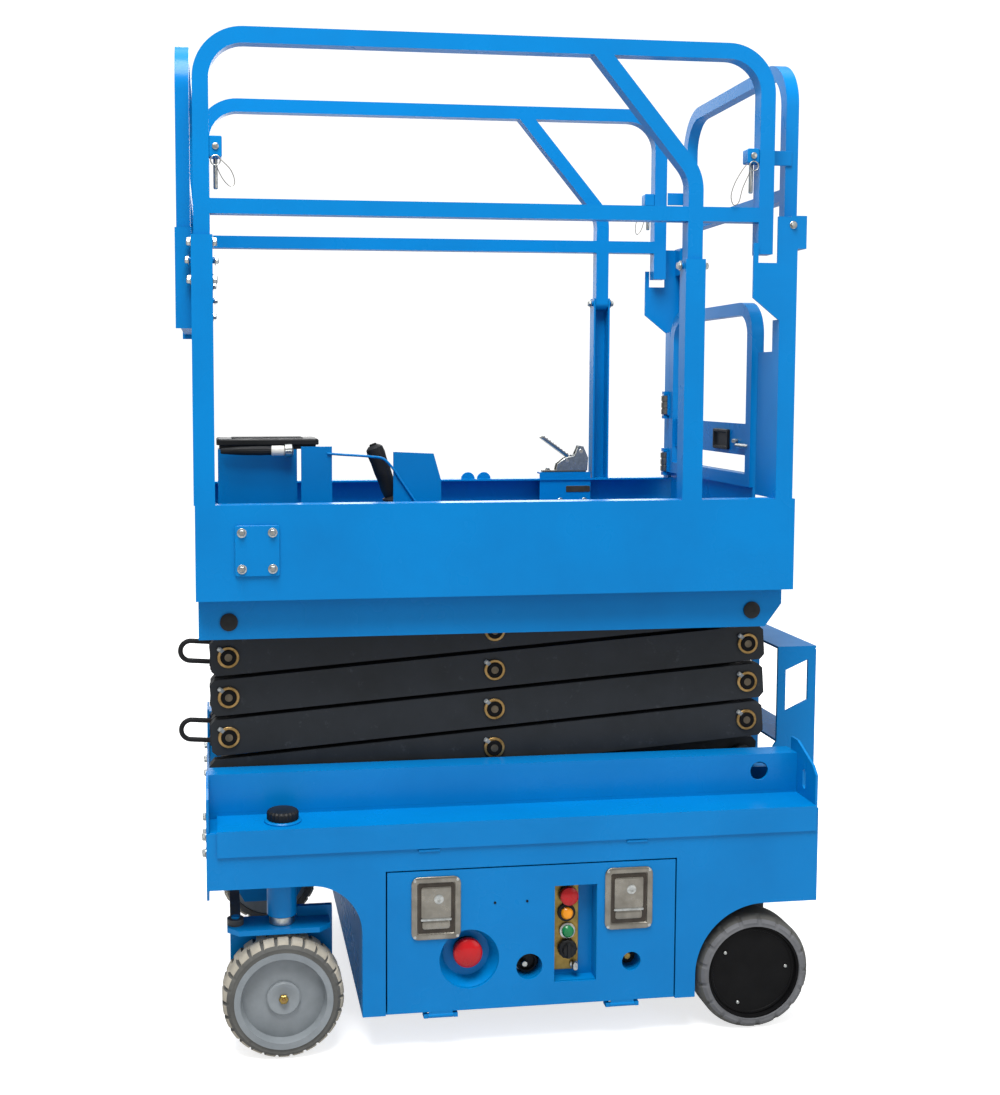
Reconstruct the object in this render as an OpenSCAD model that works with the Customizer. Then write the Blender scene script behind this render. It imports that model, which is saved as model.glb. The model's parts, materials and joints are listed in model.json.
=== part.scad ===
// Mini self-propelled scissor lift, stowed, with its guard rails up.
// X runs along the machine, towards the entry ladder. Y runs across it. Z is up.

/* [Chassis] */
// Distance between the axles
wheelbase = 942; // [860:2:1040]
// Distance of the front end plate from the front axle
front_overhang = 144; // [130:1:170]
// Distance of the rear end plate from the rear axle
rear_overhang = 126; // [115:1:160]
// Width over the side covers
chassis_w = 760; // [700:2:900]
// Height of the side covers' top face
cover_z = 456; // [440:1:520]
// Height of a side cover's turned-down edge
cover_edge = 50; // [30:1:70]
// Width of the ledge beside the scissor bay
ledge_w = 97; // [80:1:110]
// Thickness of the chassis sheet
sheet_t = 5; // [4:0.5:6]
// Ground clearance under the side panels
clearance_z = 77; // [72:1:90]
// Room above the front tyres
front_arch_room = 108; // [104:1:130]
// Room above the rear tyres
rear_arch_room = 28; // [24:1:60]

/* [Scissor bay] */
// Height of the bay's walls above the side covers
bay_wall_h = 82; // [76:1:90]
// Width of the flange along the top of a bay wall
bay_flange = 50; // [30:1:54]
// Radius of the tie-down holes
tie_hole_r = 19; // [12:0.5:24]

/* [Doors] */
// Height of a chassis door
door_h = 280; // [240:1:284]
// Gap round a door
door_gap = 3; // [2:0.5:6]
// Depth of a door's folded edges
door_fold = 20; // [12:1:26]
// Width of the panel strip in front of a door
front_strip = 48; // [30:1:70]
// Width of the panel strip behind a door
rear_strip = 44; // [30:1:70]
// Depth of the controls behind the door's face
plate_in = 34; // [30:1:44]
// Radius of the dish round the stop button
dish_r = 59; // [50:1:66]
// Width of the slot over the switches
slot_w = 85; // [70:1:100]
// Height of the slot over the switches
slot_h = 194; // [180:1:200]
// Width of a door latch
latch_w = 96; // [80:1:110]
// Height of a door latch
latch_h = 124; // [100:1:128]

/* [Wheels] */
// Radius of all four tyres
wheel_r = 117; // [105:1:130]
// Width of a tyre
tyre_w = 76; // [60:1:90]
// Height of a tyre's rubber above its rim
tyre_h = 22; // [18:1:30]
// How far a tyre's outer face lies inside the chassis side
wheel_in = 7; // [5:1:20]
// Room between a front tyre and the bulkhead behind it
front_room = 34; // [30:1:60]
// Room between a rear tyre and the bulkhead before it
rear_room = 8; // [6:1:40]
// Radius of the wheel axles
axle_r = 16; // [10:0.5:20]
// Radial clearance of a turning fit
run_gap = 0.06; // [0.02:0.01:0.1]

/* [Steering] */
// Distance of a kingpin inside its tyre's middle
kingpin_in = 23; // [18:1:28]
// Radius of a kingpin
kingpin_r = 16; // [10:0.5:20]
// Radius of a kingpin housing
kingpin_house_r = 29; // [26:1:34]
// Length of a steering arm, from kingpin to tie rod
steer_arm = 90; // [76:1:96]

/* [Scissor] */
// Height from one pin level to the next, stowed
pin_step = 80.5; // [79:0.5:84]
// Height of an arm's box section
arm_h = 72; // [60:1:74]
// Thickness of an arm's box section
arm_t = 28; // [20:1:30]
// Distance of the outer arms from the bay's outer wall faces
arm_side = 63; // [60:1:80]
// Gap between an outer and an inner arm
arm_gap = 6; // [5:0.5:10]
// How far an arm runs on past its end pin
arm_end = 36; // [30:1:40]
// Height of the lowest pins above the side covers
pin_rise = 58.5; // [56:0.5:64]
// Distance of the fixed pins from the front end plate
pin_in = 46; // [44:1:60]
// Distance of the sliding pins from the rear end plate, stowed
slide_in = 91; // [80:1:110]
// Radius of the pivot pins
pin_r = 15; // [10:0.5:16]
// Outer radius of a pivot bush
bush_r = 21; // [18:0.5:26]
// Radius of the slide rollers
roller_r = 22; // [18:0.5:24]
// Share of an arm between its end and a cross tube
tube_share = 0.1; // [0.09:0.01:0.12]
// Radius of the inner arms' cross tubes
tube_r = 20; // [16:1:22]
// How far the hose loops reach in front of the fixed pins
hose_reach = 100; // [92:1:120]
// Radius of a hose
hose_r = 5; // [3:0.5:6]
// Bend radius of a hose loop
hose_bend = 20; // [16:1:22]

/* [Lift cylinder] */
// Outer radius of the barrel
barrel_r = 40; // [32:1:42]
// Radius of the rod
rod_r = 25; // [18:1:27]
// Outer radius of the eyes at both ends
eye_r = 36; // [32:1:38]

/* [Platform] */
// How far the platform reaches out over the front end plate
deck_front = 15; // [8:1:22]
// How far the platform ends before the rear end plate
deck_rear = 45; // [40:1:60]
// How far the platform's skirt lies inside the chassis sides
deck_in = 45; // [40:1:50]
// Height of the floor above the top pins
floor_rise = 68.5; // [66:0.5:80]
// Height of the skirt above the floor
toe_h = 163; // [150:1:180]
// How far the skirt hangs down below the floor
skirt_drop = 19; // [14:1:24]
// Width of the flange along the top of the skirt
skirt_flange = 40; // [30:1:44]
// How far the channels below the platform lie inside the skirt
channel_in = 37; // [34:1:40]
// How far those channels hang down below the top pins
channel_drop = 30.5; // [28:0.5:34]

/* [Guard rails] */
// Height of the side rails above the skirt
rail_h = 884; // [860:1:920]
// Size of the square rail tube
tube = 30; // [26:1:32]
// Outer radius of the bends of a rail
bend_r = 95; // [70:1:105]
// Height of the near side rail's pivot above the skirt
pivot_h = 458; // [450:1:466]
// How much lower the far side rail pivots
far_drop = 36; // [35:1:42]
// Height of the middle bar's top face above the near pivot
mid_bar_h = 113; // [108:1:120]
// How far the side rail tubes lie inside the skirt's outer face
rail_in = 5; // [5:0.5:6]
// Distance of a side rail's rear end from the platform's end
rail_end_in = 55; // [50:1:60]
// Distance of a side rail's middle post from its rear end
post_in = 158; // [150:1:175]
// Lean of the brace above the middle post, from upright
brace_angle = 40; // [36:1:44]
// Drop from the top bend's centre to the brace bend's centre
brace_drop = 186.5; // [180:0.5:192]
// Height of a side rail's free rear leg end above the near pivot
leg_h = 23; // [22:1:30]
// Height of the rear hoop's pivot above the near pivot
rear_pivot_h = 80; // [76:1:84]
// Height of the front hoop's pivot above the near pivot
front_pivot_h = 44; // [40:1:50]
// Size of the square tube of the end hoops
hoop_tube = 26; // [22:1:28]
// How far the end hoops end below the side rails
hoop_drop = 12; // [8:1:30]

/* [Gate] */
// Height of the entry gate above the skirt
gate_h = 398; // [360:1:400]
// Size of the gate's square tube
gate_tube = 26; // [22:1:28]
// Distance of the gate's free end from the near skirt's outer face
gate_in = 119; // [110:1:140]
// Height of the gate's hinges above the skirt
hinge_h = [6, 144];

/* [Ladder] */
// Width over the ladder's side plates
ladder_w = 306; // [280:2:340]
// Depth of the ladder
ladder_d = 86; // [76:1:100]
// Height of the ladder's top tread above the side covers
ladder_h = 277; // [260:1:290]

/* [Hidden] */
$fn = 64;
// Gap where one piece is seated on another
seat = 0.2;
// How deep welded pieces run into each other
weld = 2;
// How far a straight tube's faces lie inside those of the bend it runs into
inset = 0.1;
// Clearance of the pivots where a linkage closes
open_gap = 1.5;

// Chassis
chassis_len = front_overhang + wheelbase + rear_overhang;
half_len = chassis_len / 2;
half_w = chassis_w / 2;
front_x = -half_len + front_overhang;
rear_x = half_len - rear_overhang;
panel_y = half_w - 4;
bay_y = half_w - ledge_w;
// Underside of the bay's floor
bay_floor = cover_z - 6;
bay_floor_t = 12;
bay_wall_z = cover_z + bay_wall_h;
tie_hole_z = cover_z + 47;
front_arch_z = 2 * wheel_r + front_arch_room;
rear_arch_z = 2 * wheel_r + rear_arch_room;
front_arch_r = 100;
// Bulkheads between the wheels
bulk_front = front_x + wheel_r + front_room;
bulk_rear = rear_x - wheel_r - rear_room;

// Doors, with their hinges along the bottom edge
door_x0 = bulk_front + front_strip;
door_x1 = bulk_rear - rear_strip;
door_w = door_x1 - door_x0;
door_low = clearance_z + door_gap;
door_top = door_low + door_h;
fold_t = 3;
door_hinge = [panel_y - 4, clearance_z - 6];
door_hinge_x = [door_x0 + 80, door_x1 - 130];
door_hinge_len = 50;
door_pin_r = 2.5;
door_barrel_r = 5;
latch_t = 4;
latch_in = 95;
latch_low = door_top - latch_h - 11;

// Ground controls, placed by shares of the door's width
plate_y = -panel_y + plate_in;
well_y = -panel_y + sheet_t + weld;
stop_at = [door_x0 + 0.28 * door_w, door_low + 101];
socket_at = [door_x0 + 0.488 * door_w, door_low + 79];
socket_r = 26;
plug_at = [door_x0 + 0.847 * door_w, door_low + 78];
plug_r = 19;
slot_at = [door_x0 + 0.575 * door_w, door_low + 44];

// Wheels
wheel_y = half_w - wheel_in - tyre_w / 2;
rim_r = wheel_r - tyre_h;

// Steering yoke
king_y = wheel_y - kingpin_in;
yoke_z = 2 * wheel_r + 6;
yoke_t = 10;
tie_t = 12;
tie_pin_r = 8;
king_low = yoke_z + yoke_t + tie_t + 6;
king_top = king_low + 64;

// Scissor at rest
stages = 4;
pin_z = cover_z + pin_rise;
left_x = -half_len + pin_in;
right_x = half_len - slide_in;
span = right_x - left_x;
arm_len = sqrt(span * span + pin_step * pin_step);
rest_angle = atan2(pin_step, span);
arms_y = bay_y - arm_side;
outer_in = arms_y - arm_t;
inner_out = outer_in - arm_gap;
inner_in = inner_out - arm_t;
function level(k) = pin_z + k * pin_step;
top_z = level(stages);
// Gap between a slide roller and its track
roll_gap = 0.3;
track_len = 420;
bush_t = 4;
// Notch in the end plates, where the arms' ends turn
notch_y = arms_y + 32;
notch_z = pin_z - arm_h / 2 - 6;

// Lift cylinder, from the lowest inner arms to the third ones
barrel_at = [left_x + tube_share * span, level(1) - tube_share * pin_step];
eye_at = [right_x - tube_share * span, level(2) + tube_share * pin_step];
cylinder_len = norm(eye_at - barrel_at);
cylinder_tilt = atan2(eye_at.y - barrel_at.y, eye_at.x - barrel_at.x);
gland_at = cylinder_len - 80;
barrel_eye_y = 30;
rod_eye_y = 20;
// Lugs each side of the rod's eye
lug_y = rod_r + 6;
lug_t = 10;

// Platform
deck_x0 = -half_len - deck_front;
deck_x1 = half_len - deck_rear;
skirt_y = half_w - deck_in;
channel_y = skirt_y - channel_in;
deck_t = 6;
skirt_t = 4;
floor_z = top_z + floor_rise;
skirt_low = floor_z - skirt_drop;
skirt_top = floor_z + toe_h;
channel_low = top_z - channel_drop;
// Platform controls: a document box and a cradle with the joystick
box_x = deck_x0 + 45;
box_top = floor_z + 255;
cradle_x = deck_x0 + 215;
cradle_y = -100;
cradle_z = floor_z + 125;
stick_x = deck_x0 + 418;

// Rails
near_pivot_z = skirt_top + pivot_h;
pivot_z = [near_pivot_z, near_pivot_z - far_drop];
rail_top = skirt_top + rail_h;
mid_bar_top = near_pivot_z + mid_bar_h;
leg_low = near_pivot_z + leg_h;
rear_pivot_z = near_pivot_z + rear_pivot_h;
front_pivot_z = near_pivot_z + front_pivot_h;
rail_y = skirt_y - rail_in;
rail_x0 = deck_x0 + 3;
rail_rear = deck_x1 - rail_end_in;
post_x = rail_rear - post_in;
post_wall = 4;
post_gap = 1;
// How far the front and middle posts stand up past the pivots
front_rise = 46;
post_rise = 12;
hoop_gap = 6;
hoop_y = rail_y - tube - hoop_gap;
hoop_top = rail_top - hoop_drop;
hoop_pin_r = 6;
front_hoop_x = rail_x0 - hoop_gap - hoop_tube / 2;
rear_hoop_x = deck_x1 - 4;
pedal_x = post_x - 151;
pedal_y = skirt_y - skirt_flange + 3;
pedal_z = skirt_top + 15;

// Gate
hinge_x = deck_x1 - 51;
hinge_y = rail_y - 33;
hinge_r = 5;
// Distance of the gate's frame from its hinge line
hinge_off = 12;
gate_y0 = -skirt_y + gate_in;
gate_y1 = hinge_y - hinge_off;
gate_low = skirt_top + 14;
gate_top = skirt_top + gate_h;

// Ladder
ladder_x = half_len + 7;
ladder_low = rear_arch_z + 40;
ladder_top = cover_z + ladder_h;
ladder_mid = ladder_top - 203;

// Everything is drawn from the chassis middle and moved so that the origin
// lies under the middle of the whole machine.
front_reach = left_x - hose_reach;
rear_reach = ladder_x + ladder_d;
mid_x = (front_reach + rear_reach) / 2;

blue = "#0A84D0";
charcoal = "#26282B";
bronze = "#9C7B45";
grey = "#8B9094";
dark = "#3A3C3E";
steel = "#B4B4AE";

// Box between two corners
module block(a, b) {
    translate(a) cube(b - a);
}

// The same thing on the near side and, mirrored, on the far side
module both_sides() {
    children();
    mirror([0, 1, 0]) children();
}

// A drawing in X and Z, made t thick from y towards the far side
module upright(y, t) {
    translate([0, y + t, 0]) rotate([90, 0, 0]) linear_extrude(t) children();
}

// A drawing in Y and Z, made t thick from x towards the rear
module crosswise(x, t) {
    translate([x, 0, 0]) rotate([90, 0, 90]) linear_extrude(t) children();
}

// Cylinder along Y from y0 to y1
module rod_y(x, z, r, y0, y1) {
    translate([x, y1, z]) rotate([90, 0, 0]) cylinder(r = r, h = y1 - y0);
}

// Cylinder along X from x0 to x1
module rod_x(y, z, r, x0, x1) {
    translate([x0, y, z]) rotate([0, 90, 0]) cylinder(r = r, h = x1 - x0);
}

// Part of a ring from the X axis to an angle below 180 degrees, w wide inside r_out
module bend2d(r_out, w, angle) {
    far = 2 * r_out;
    intersection() {
        difference() {
            circle(r_out);
            circle(r_out - w);
        }
        polygon([[0, 0], [far, 0], [far, far], [far * cos(angle), far * sin(angle)]]);
    }
}

// Hoop outline, open below: legs from z0 up, bent at both top corners
module hoop2d(x0, x1, z0, z1, w, r) {
    translate([x0 + r, z1 - r]) rotate(90) bend2d(r, w, 90);
    translate([x1 - r, z1 - r]) bend2d(r, w, 90);
    translate([x0 + r, z1 - w]) square([x1 - x0 - 2 * r, w]);
    translate([x0, z0]) square([w, z1 - r - z0]);
    translate([x1 - w, z0]) square([w, z1 - r - z0]);
}

// Rectangle with round corners
module rounded(size, r) {
    translate([r, 0]) square([size.x - 2 * r, size.y]);
    translate([0, r]) square([size.x, size.y - 2 * r]);
    for (x = [r, size.x - r], y = [r, size.y - r]) translate([x, y]) circle(r);
}

// Chassis

// Pan with a bulkhead at both ends and the fixed halves of the door hinges below its edges
module chassis_pan() {
    y = panel_y - sheet_t - seat;
    lug = 8;
    lug_r = 4;
    color(blue) {
        difference() {
            block([bulk_front, -y, clearance_z], [bulk_rear, y, bay_floor - seat]);
            block([bulk_front + sheet_t, -y - 1, clearance_z + sheet_t],
                [bulk_rear - sheet_t, y + 1, cover_z]);
        }
        both_sides() for (x = door_hinge_x) {
            for (x0 = [x - lug - 0.5, x + door_hinge_len + 0.5]) {
                block([x0, -door_hinge.x - lug_r, door_hinge.y - lug_r],
                    [x0 + lug, -door_hinge.x + 14, door_hinge.y + lug_r]);
                block([x0, -y + weld, door_hinge.y - lug_r],
                    [x0 + lug, -door_hinge.x + 14, clearance_z + weld]);
            }
            rod_x(-door_hinge.x, door_hinge.y, door_pin_r, x - 2, x + door_hinge_len + 2);
        }
    }
}

// Floor of the bay, with the tracks of the slide rollers and the lugs of the fixed pins
module scissor_bay() {
    floor_top = bay_floor + bay_floor_t;
    x0 = -half_len + sheet_t;
    x1 = half_len - sheet_t;
    track_top = pin_z - roller_r - roll_gap;
    pin_lugs = [outer_in - 10, arms_y + 5];
    pin_lug_t = 8;
    color(blue) {
        block([x0, -bay_y, bay_floor], [x1, bay_y, floor_top]);
        both_sides() {
            block([right_x - track_len, -arms_y, floor_top - weld], [right_x + 50, -outer_in + 1, track_top]);
            for (y = pin_lugs) difference() {
                block([left_x - 26, -y - pin_lug_t, floor_top - weld], [left_x + 40, -y, pin_z + pin_r]);
                rod_y(left_x, pin_z, pin_r + run_gap, -y - pin_lug_t - 1, -y + 1);
            }
        }
    }
}

// Walls of the bay, standing on its floor, each with a flange and a tie-down hole
module bay_walls() {
    x0 = -half_len + sheet_t;
    x1 = half_len - sheet_t;
    hole_x = right_x + 5;
    color(blue) both_sides() {
        difference() {
            block([x0, -bay_y, bay_floor + bay_floor_t + seat], [x1, -bay_y + sheet_t, bay_wall_z]);
            rod_y(hole_x, tie_hole_z, tie_hole_r, -bay_y - 1, -bay_y + sheet_t + 1);
        }
        block([x0, -bay_y, bay_wall_z - sheet_t], [x1, -bay_y + bay_flange, bay_wall_z]);
    }
}

module side_panel() {
    rear_arch_r = rear_arch_z - wheel_r - 5;
    arch_x = bulk_rear + rear_arch_r;
    color(blue) upright(-panel_y, sheet_t) difference() {
        translate([-half_len, clearance_z]) square([chassis_len, cover_z - clearance_z - sheet_t - seat]);
        // Front arch
        translate([-half_len - 1, clearance_z - 1])
            square([bulk_front - front_arch_r + half_len + 1, front_arch_z - clearance_z + 1]);
        translate([-half_len - 1, clearance_z - 1])
            square([bulk_front + half_len + 1, front_arch_z - front_arch_r - clearance_z + 1]);
        translate([bulk_front - front_arch_r, front_arch_z - front_arch_r]) circle(front_arch_r);
        // Rear arch
        translate([arch_x, rear_arch_z - rear_arch_r]) circle(rear_arch_r);
        translate([arch_x, clearance_z - 1]) square([half_len, rear_arch_z - clearance_z + 1]);
        translate([bulk_rear, clearance_z - 1])
            square([half_len, rear_arch_z - rear_arch_r - clearance_z + 1]);
        // Doorway
        translate([door_x0 - door_gap, clearance_z - 1])
            square([door_w + 2 * door_gap, door_h + 2 * door_gap + 1]);
    }
}

module side_panels() {
    both_sides() side_panel();
}

module side_covers() {
    x0 = -half_len + 20;
    x1 = half_len - sheet_t - seat;
    edge_t = half_w - panel_y - seat;
    color(blue) both_sides() {
        block([x0, -half_w, cover_z - sheet_t], [x1, -bay_y - seat, cover_z]);
        block([x0, -half_w, cover_z - cover_edge], [x1, -half_w + edge_t, cover_z]);
    }
}

// End plate outline in Y and Z: ears beside the bay, a notch for the arms' ends and a slot in each ear
module end_outline(low, ear_rise) {
    corner = 40;
    ear = 16;
    ear_z = bay_wall_z - 22;
    slot_y = panel_y - 58;
    slot_r = 7;
    y = panel_y - sheet_t - seat;
    half = [[-y + corner, low], [-y, low + corner], [-y, ear_z], [-y + ear, ear_z + ear],
        [-bay_y, bay_wall_z + ear_rise], [-notch_y, bay_wall_z + ear_rise], [-notch_y, notch_z]];
    n = len(half) - 1;
    difference() {
        polygon(concat(half, [for (i = [n:-1:0]) [-half[i].x, half[i].y]]));
        for (s = [-1, 1]) translate([s * slot_y, cover_z + 24]) {
            translate([-slot_r, 0]) square([2 * slot_r, 26]);
            circle(slot_r);
            translate([0, 26]) circle(slot_r);
        }
    }
}

module end_plates() {
    color(blue) {
        crosswise(-half_len - seat, sheet_t) end_outline(front_arch_z - 36, 0);
        crosswise(half_len - sheet_t + seat, sheet_t) end_outline(rear_arch_z, 26);
    }
}

module entry_ladder() {
    t = 6;
    y = ladder_w / 2;
    x0 = half_len + 2 * seat;
    x1 = ladder_x + ladder_d;
    corner = 8;
    side = 18;
    color(blue) {
        both_sides() upright(-y, t) difference() {
            polygon([[x0, ladder_low], [x1, ladder_low], [x1, ladder_top - corner], [x1 - corner, ladder_top],
                [ladder_x, ladder_top], [ladder_x, cover_z + 70], [x0, cover_z + 60]]);
            polygon([[ladder_x + side, ladder_top - 141], [x1 - side, ladder_top - 117],
                [x1 - side, ladder_top - 29], [ladder_x + side, ladder_top - 51]]);
        }
        for (z = [ladder_top, ladder_mid, ladder_low + 30])
            block([ladder_x, -y, z - sheet_t], [x1, y, z]);
    }
}

module front_beam() {
    color(blue) {
        block([front_x - 40, -king_y - 34, front_arch_z + 4], [front_x + 40, king_y + 34, bay_floor - seat]);
        both_sides() difference() {
            translate([front_x, -king_y, king_low])
                cylinder(r = kingpin_house_r, h = front_arch_z - king_low + 5);
            translate([front_x, -king_y, king_low - 1])
                cylinder(r = kingpin_r + run_gap, h = king_top - king_low + 2);
        }
    }
}

module drive_units() {
    drum_r = 62;
    drum_len = 130;
    y0 = wheel_y - tyre_w / 2 - 6;
    color(dark) {
        both_sides() {
            rod_y(rear_x, wheel_r, drum_r, -y0, -y0 + drum_len);
            rod_y(rear_x, wheel_r, axle_r, -wheel_y - 6, -y0 + weld);
        }
        block([rear_x - 60, -y0 + 20, wheel_r + 20], [rear_x + 60, y0 - 20, bay_floor - seat]);
    }
}

module battery_pack() {
    color(dark) block([bulk_front + 40, -panel_y + 60, clearance_z + sheet_t],
        [door_x0 + 0.48 * door_w, panel_y - 40, bay_floor - 130]);
}

module power_unit() {
    color(dark) block([door_x0 + 0.53 * door_w, -panel_y + 120, clearance_z + sheet_t],
        [bulk_rear - 40, panel_y - 40, bay_floor - 110]);
}

// Plate with the ground controls, with a dish, a well and two sleeves that reach out to the door's openings
module control_plate() {
    well_t = 3;
    depth = plate_y + weld - well_y;
    color(blue) {
        block([door_x0 + 30, plate_y, clearance_z + sheet_t], [door_x1 - 30, plate_y + 4, door_top - 4]);
        translate([stop_at.x, plate_y + weld, stop_at.y]) rotate([90, 0, 0]) rotate_extrude()
            polygon([[dish_r - 14, 0], [dish_r - 14 + well_t, 0], [dish_r + well_t, depth], [dish_r, depth]]);
        difference() {
            block([slot_at.x - well_t, well_y, slot_at.y - well_t],
                [slot_at.x + slot_w + well_t, plate_y + weld, slot_at.y + slot_h + well_t]);
            block([slot_at.x, well_y - 1, slot_at.y],
                [slot_at.x + slot_w, plate_y + weld + 1, slot_at.y + slot_h]);
        }
        for (hole = [[socket_at, socket_r], [plug_at, plug_r]]) difference() {
            rod_y(hole[0].x, hole[0].y, hole[1] + well_t, well_y, plate_y + weld);
            rod_y(hole[0].x, hole[0].y, hole[1], well_y - 1, plate_y + weld + 1);
        }
    }
}

module stop_button() {
    cap_r = 29;
    color("#C8101A") {
        rod_y(stop_at.x, stop_at.y + 6, 12, plate_y - 20, plate_y);
        rod_y(stop_at.x, stop_at.y + 6, cap_r, -panel_y + 5, -panel_y + 18);
    }
}

// Round buttons, lamps and the selector switch, one above the other
module switch_set() {
    sizes = [[165, 19], [129, 12], [92, 13], [56, 19]];
    color(dark) for (s = sizes)
        rod_y(slot_at.x + 33, slot_at.y + s[0], s[1], -panel_y + 14, plate_y);
}

// Door, a sheet with folded edges and hinge barrels below. The children are its openings.
module door_sheet() {
    y0 = -panel_y + sheet_t - weld;
    y1 = -panel_y + door_fold;
    color(blue) {
        upright(-panel_y, sheet_t) difference() {
            translate([door_x0, door_low]) square([door_w, door_h]);
            children();
        }
        block([door_x0 + 0.5, y0, door_top - 0.5 - fold_t], [door_x1 - 0.5, y1, door_top - 0.5]);
        for (x = [door_x0 + 0.5, door_x1 - 0.5 - fold_t])
            block([x, y0, door_low + 30], [x + fold_t, y1, door_top - 1.5]);
        for (x = door_hinge_x) difference() {
            union() {
                rod_x(-door_hinge.x, door_hinge.y, door_barrel_r, x, x + door_hinge_len);
                block([x + 2, -panel_y + 0.5, door_hinge.y],
                    [x + door_hinge_len - 2, -panel_y + 4.5, door_low + weld]);
            }
            rod_x(-door_hinge.x, door_hinge.y, door_pin_r + run_gap, x - 1, x + door_hinge_len + 1);
        }
    }
}

module door_near() {
    door_sheet() {
        translate(stop_at) circle(dish_r);
        translate(socket_at) circle(socket_r);
        translate(plug_at) circle(plug_r);
        translate(slot_at) square([slot_w, slot_h]);
    }
}

module door_far() {
    mirror([0, 1, 0]) door_sheet();
}

// Paddle latch: a pressed frame with a sunk paddle and a lip below it
module latch(x) {
    rim = 14;
    back = 1.2;
    y = -panel_y - latch_t;
    inner = [latch_w - 2 * rim, latch_h - 2 * rim];
    color(steel) translate([x - latch_w / 2, 0, latch_low]) {
        difference() {
            upright(y, latch_t) rounded([latch_w, latch_h], 14);
            upright(y - 1, latch_t - back + 1) translate([rim, rim]) rounded(inner, 5);
        }
        upright(y + 1, latch_t - 1.5) translate([rim + 4, rim + 24]) square(inner - [8, 30]);
        upright(y + 0.4, latch_t - 0.9) translate([rim + 6, rim + 6]) square([inner.x - 12, 12]);
    }
}

module latches() {
    for (x = [door_x0 + latch_in, door_x1 - latch_in]) latch(x);
}

module latches_near() {
    latches();
}

module latches_far() {
    mirror([0, 1, 0]) latches();
}

// Steering

// Knuckle: a yoke plate over the wheel, an axle plate behind it, the kingpin and the tie rod's pin
module knuckle() {
    axle_plate_y = -wheel_y + tyre_w / 2 + 7;
    axle_plate_t = 12;
    y0 = -wheel_y - 15;
    y1 = axle_plate_y + axle_plate_t;
    x0 = front_x - steer_arm - 16;
    x1 = front_x + 93;
    corner = 22;
    low = 62;
    color(blue) {
        translate([0, 0, yoke_z]) linear_extrude(yoke_t)
            polygon([[x0 + corner, y0], [x1 - corner, y0], [x1, y0 + corner], [x1, y1], [x0, y1],
                [x0, y0 + corner]]);
        translate([front_x, 0, 0]) upright(axle_plate_y, axle_plate_t - inset)
            polygon([[-100, yoke_z + weld], [-100, low + 70], [-60, low], [60, low], [100, low + 70],
                [100, yoke_z + 30], [30, yoke_z + 30], [30, yoke_z + weld]]);
        translate([front_x, -king_y, yoke_z + weld]) {
            cylinder(r = kingpin_r, h = king_top - yoke_z - weld);
            cylinder(r = kingpin_r + 6, h = king_low - yoke_z - weld - 0.3);
            translate([-steer_arm, 0, 0]) cylinder(r = tie_pin_r, h = yoke_t + tie_t + 2);
        }
        rod_y(front_x, wheel_r, axle_r, -wheel_y - 12, axle_plate_y + weld);
    }
}

module knuckle_near() {
    knuckle();
}

module knuckle_far() {
    mirror([0, 1, 0]) knuckle();
}

module tie_rod() {
    z = yoke_z + yoke_t + seat;
    x = front_x - steer_arm;
    eye = 16;
    color(dark) difference() {
        union() {
            block([x - 10, -king_y, z], [x + 10, king_y, z + tie_t]);
            both_sides() translate([x, -king_y, z]) cylinder(r = eye, h = tie_t);
        }
        translate([x, -king_y, z - 1]) cylinder(r = tie_pin_r + run_gap, h = tie_t + 2);
        translate([x, king_y, z - 1]) cylinder(r = tie_pin_r + open_gap, h = tie_t + 2);
    }
}

// Wheels, drawn round the Z axis with the outer face up

module tyre() {
    w = tyre_w / 2;
    shoulder = 14;
    seat_r = rim_r + 0.02;
    rotate_extrude($fn = 96) polygon([[seat_r, -w], [wheel_r - shoulder, -w], [wheel_r - 3, -w + 9],
        [wheel_r, -w + 16], [wheel_r, w - 16], [wheel_r - 3, w - 9], [wheel_r - shoulder, w], [seat_r, w]]);
}

// Front rim: a deep dish with a hub boss
module front_rim() {
    w = tyre_w / 2;
    lip = 12;
    dish = 34;
    difference() {
        union() {
            rotate_extrude() polygon([[0, -w + 4], [rim_r, -w + 4], [rim_r, w + 1], [rim_r - lip, w + 1],
                [rim_r - lip - 5, w - 22], [40, w - dish], [0, w - dish]]);
            translate([0, 0, w - dish - weld]) cylinder(r = 30, h = 23);
        }
        translate([0, 0, -w]) cylinder(r = axle_r + run_gap, h = w + 14);
    }
}

// Rear rim: a plain disc, a little sunk
module rear_rim() {
    w = tyre_w / 2;
    sunk = 12;
    difference() {
        rotate_extrude() polygon([[0, -w + 4], [rim_r, -w + 4], [rim_r, w - 4], [rim_r - 4, w - 4],
            [rim_r - 5, w - sunk], [0, w - sunk]]);
        translate([0, 0, -w]) cylinder(r = axle_r + run_gap, h = w + 8);
    }
}

// Puts a wheel on its axle, at its side of the machine
module at_wheel(x, side) {
    translate([x, side * wheel_y, wheel_r]) rotate([-side * 90, 0, 0]) children();
}

module tyre_front_near() { color("#A8A59E") at_wheel(front_x, -1) tyre(); }
module tyre_front_far() { color("#A8A59E") at_wheel(front_x, 1) tyre(); }
module tyre_rear_near() { color("#77756F") at_wheel(rear_x, -1) tyre(); }
module tyre_rear_far() { color("#77756F") at_wheel(rear_x, 1) tyre(); }
module rim_front_near() { color(grey) at_wheel(front_x, -1) front_rim(); }
module rim_front_far() { color(grey) at_wheel(front_x, 1) front_rim(); }
module rim_rear_near() { color(dark) at_wheel(rear_x, -1) rear_rim(); }
module rim_rear_far() { color(dark) at_wheel(rear_x, 1) rear_rim(); }

// Scissor. An outer arm rises to the rear, an inner arm to the front.

// Draws along an arm: local X from its left pin, at stage k (0 is the lowest)
module along_outer(k) {
    translate([left_x, 0, level(k)]) rotate([0, -rest_angle, 0]) children();
}

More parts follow.
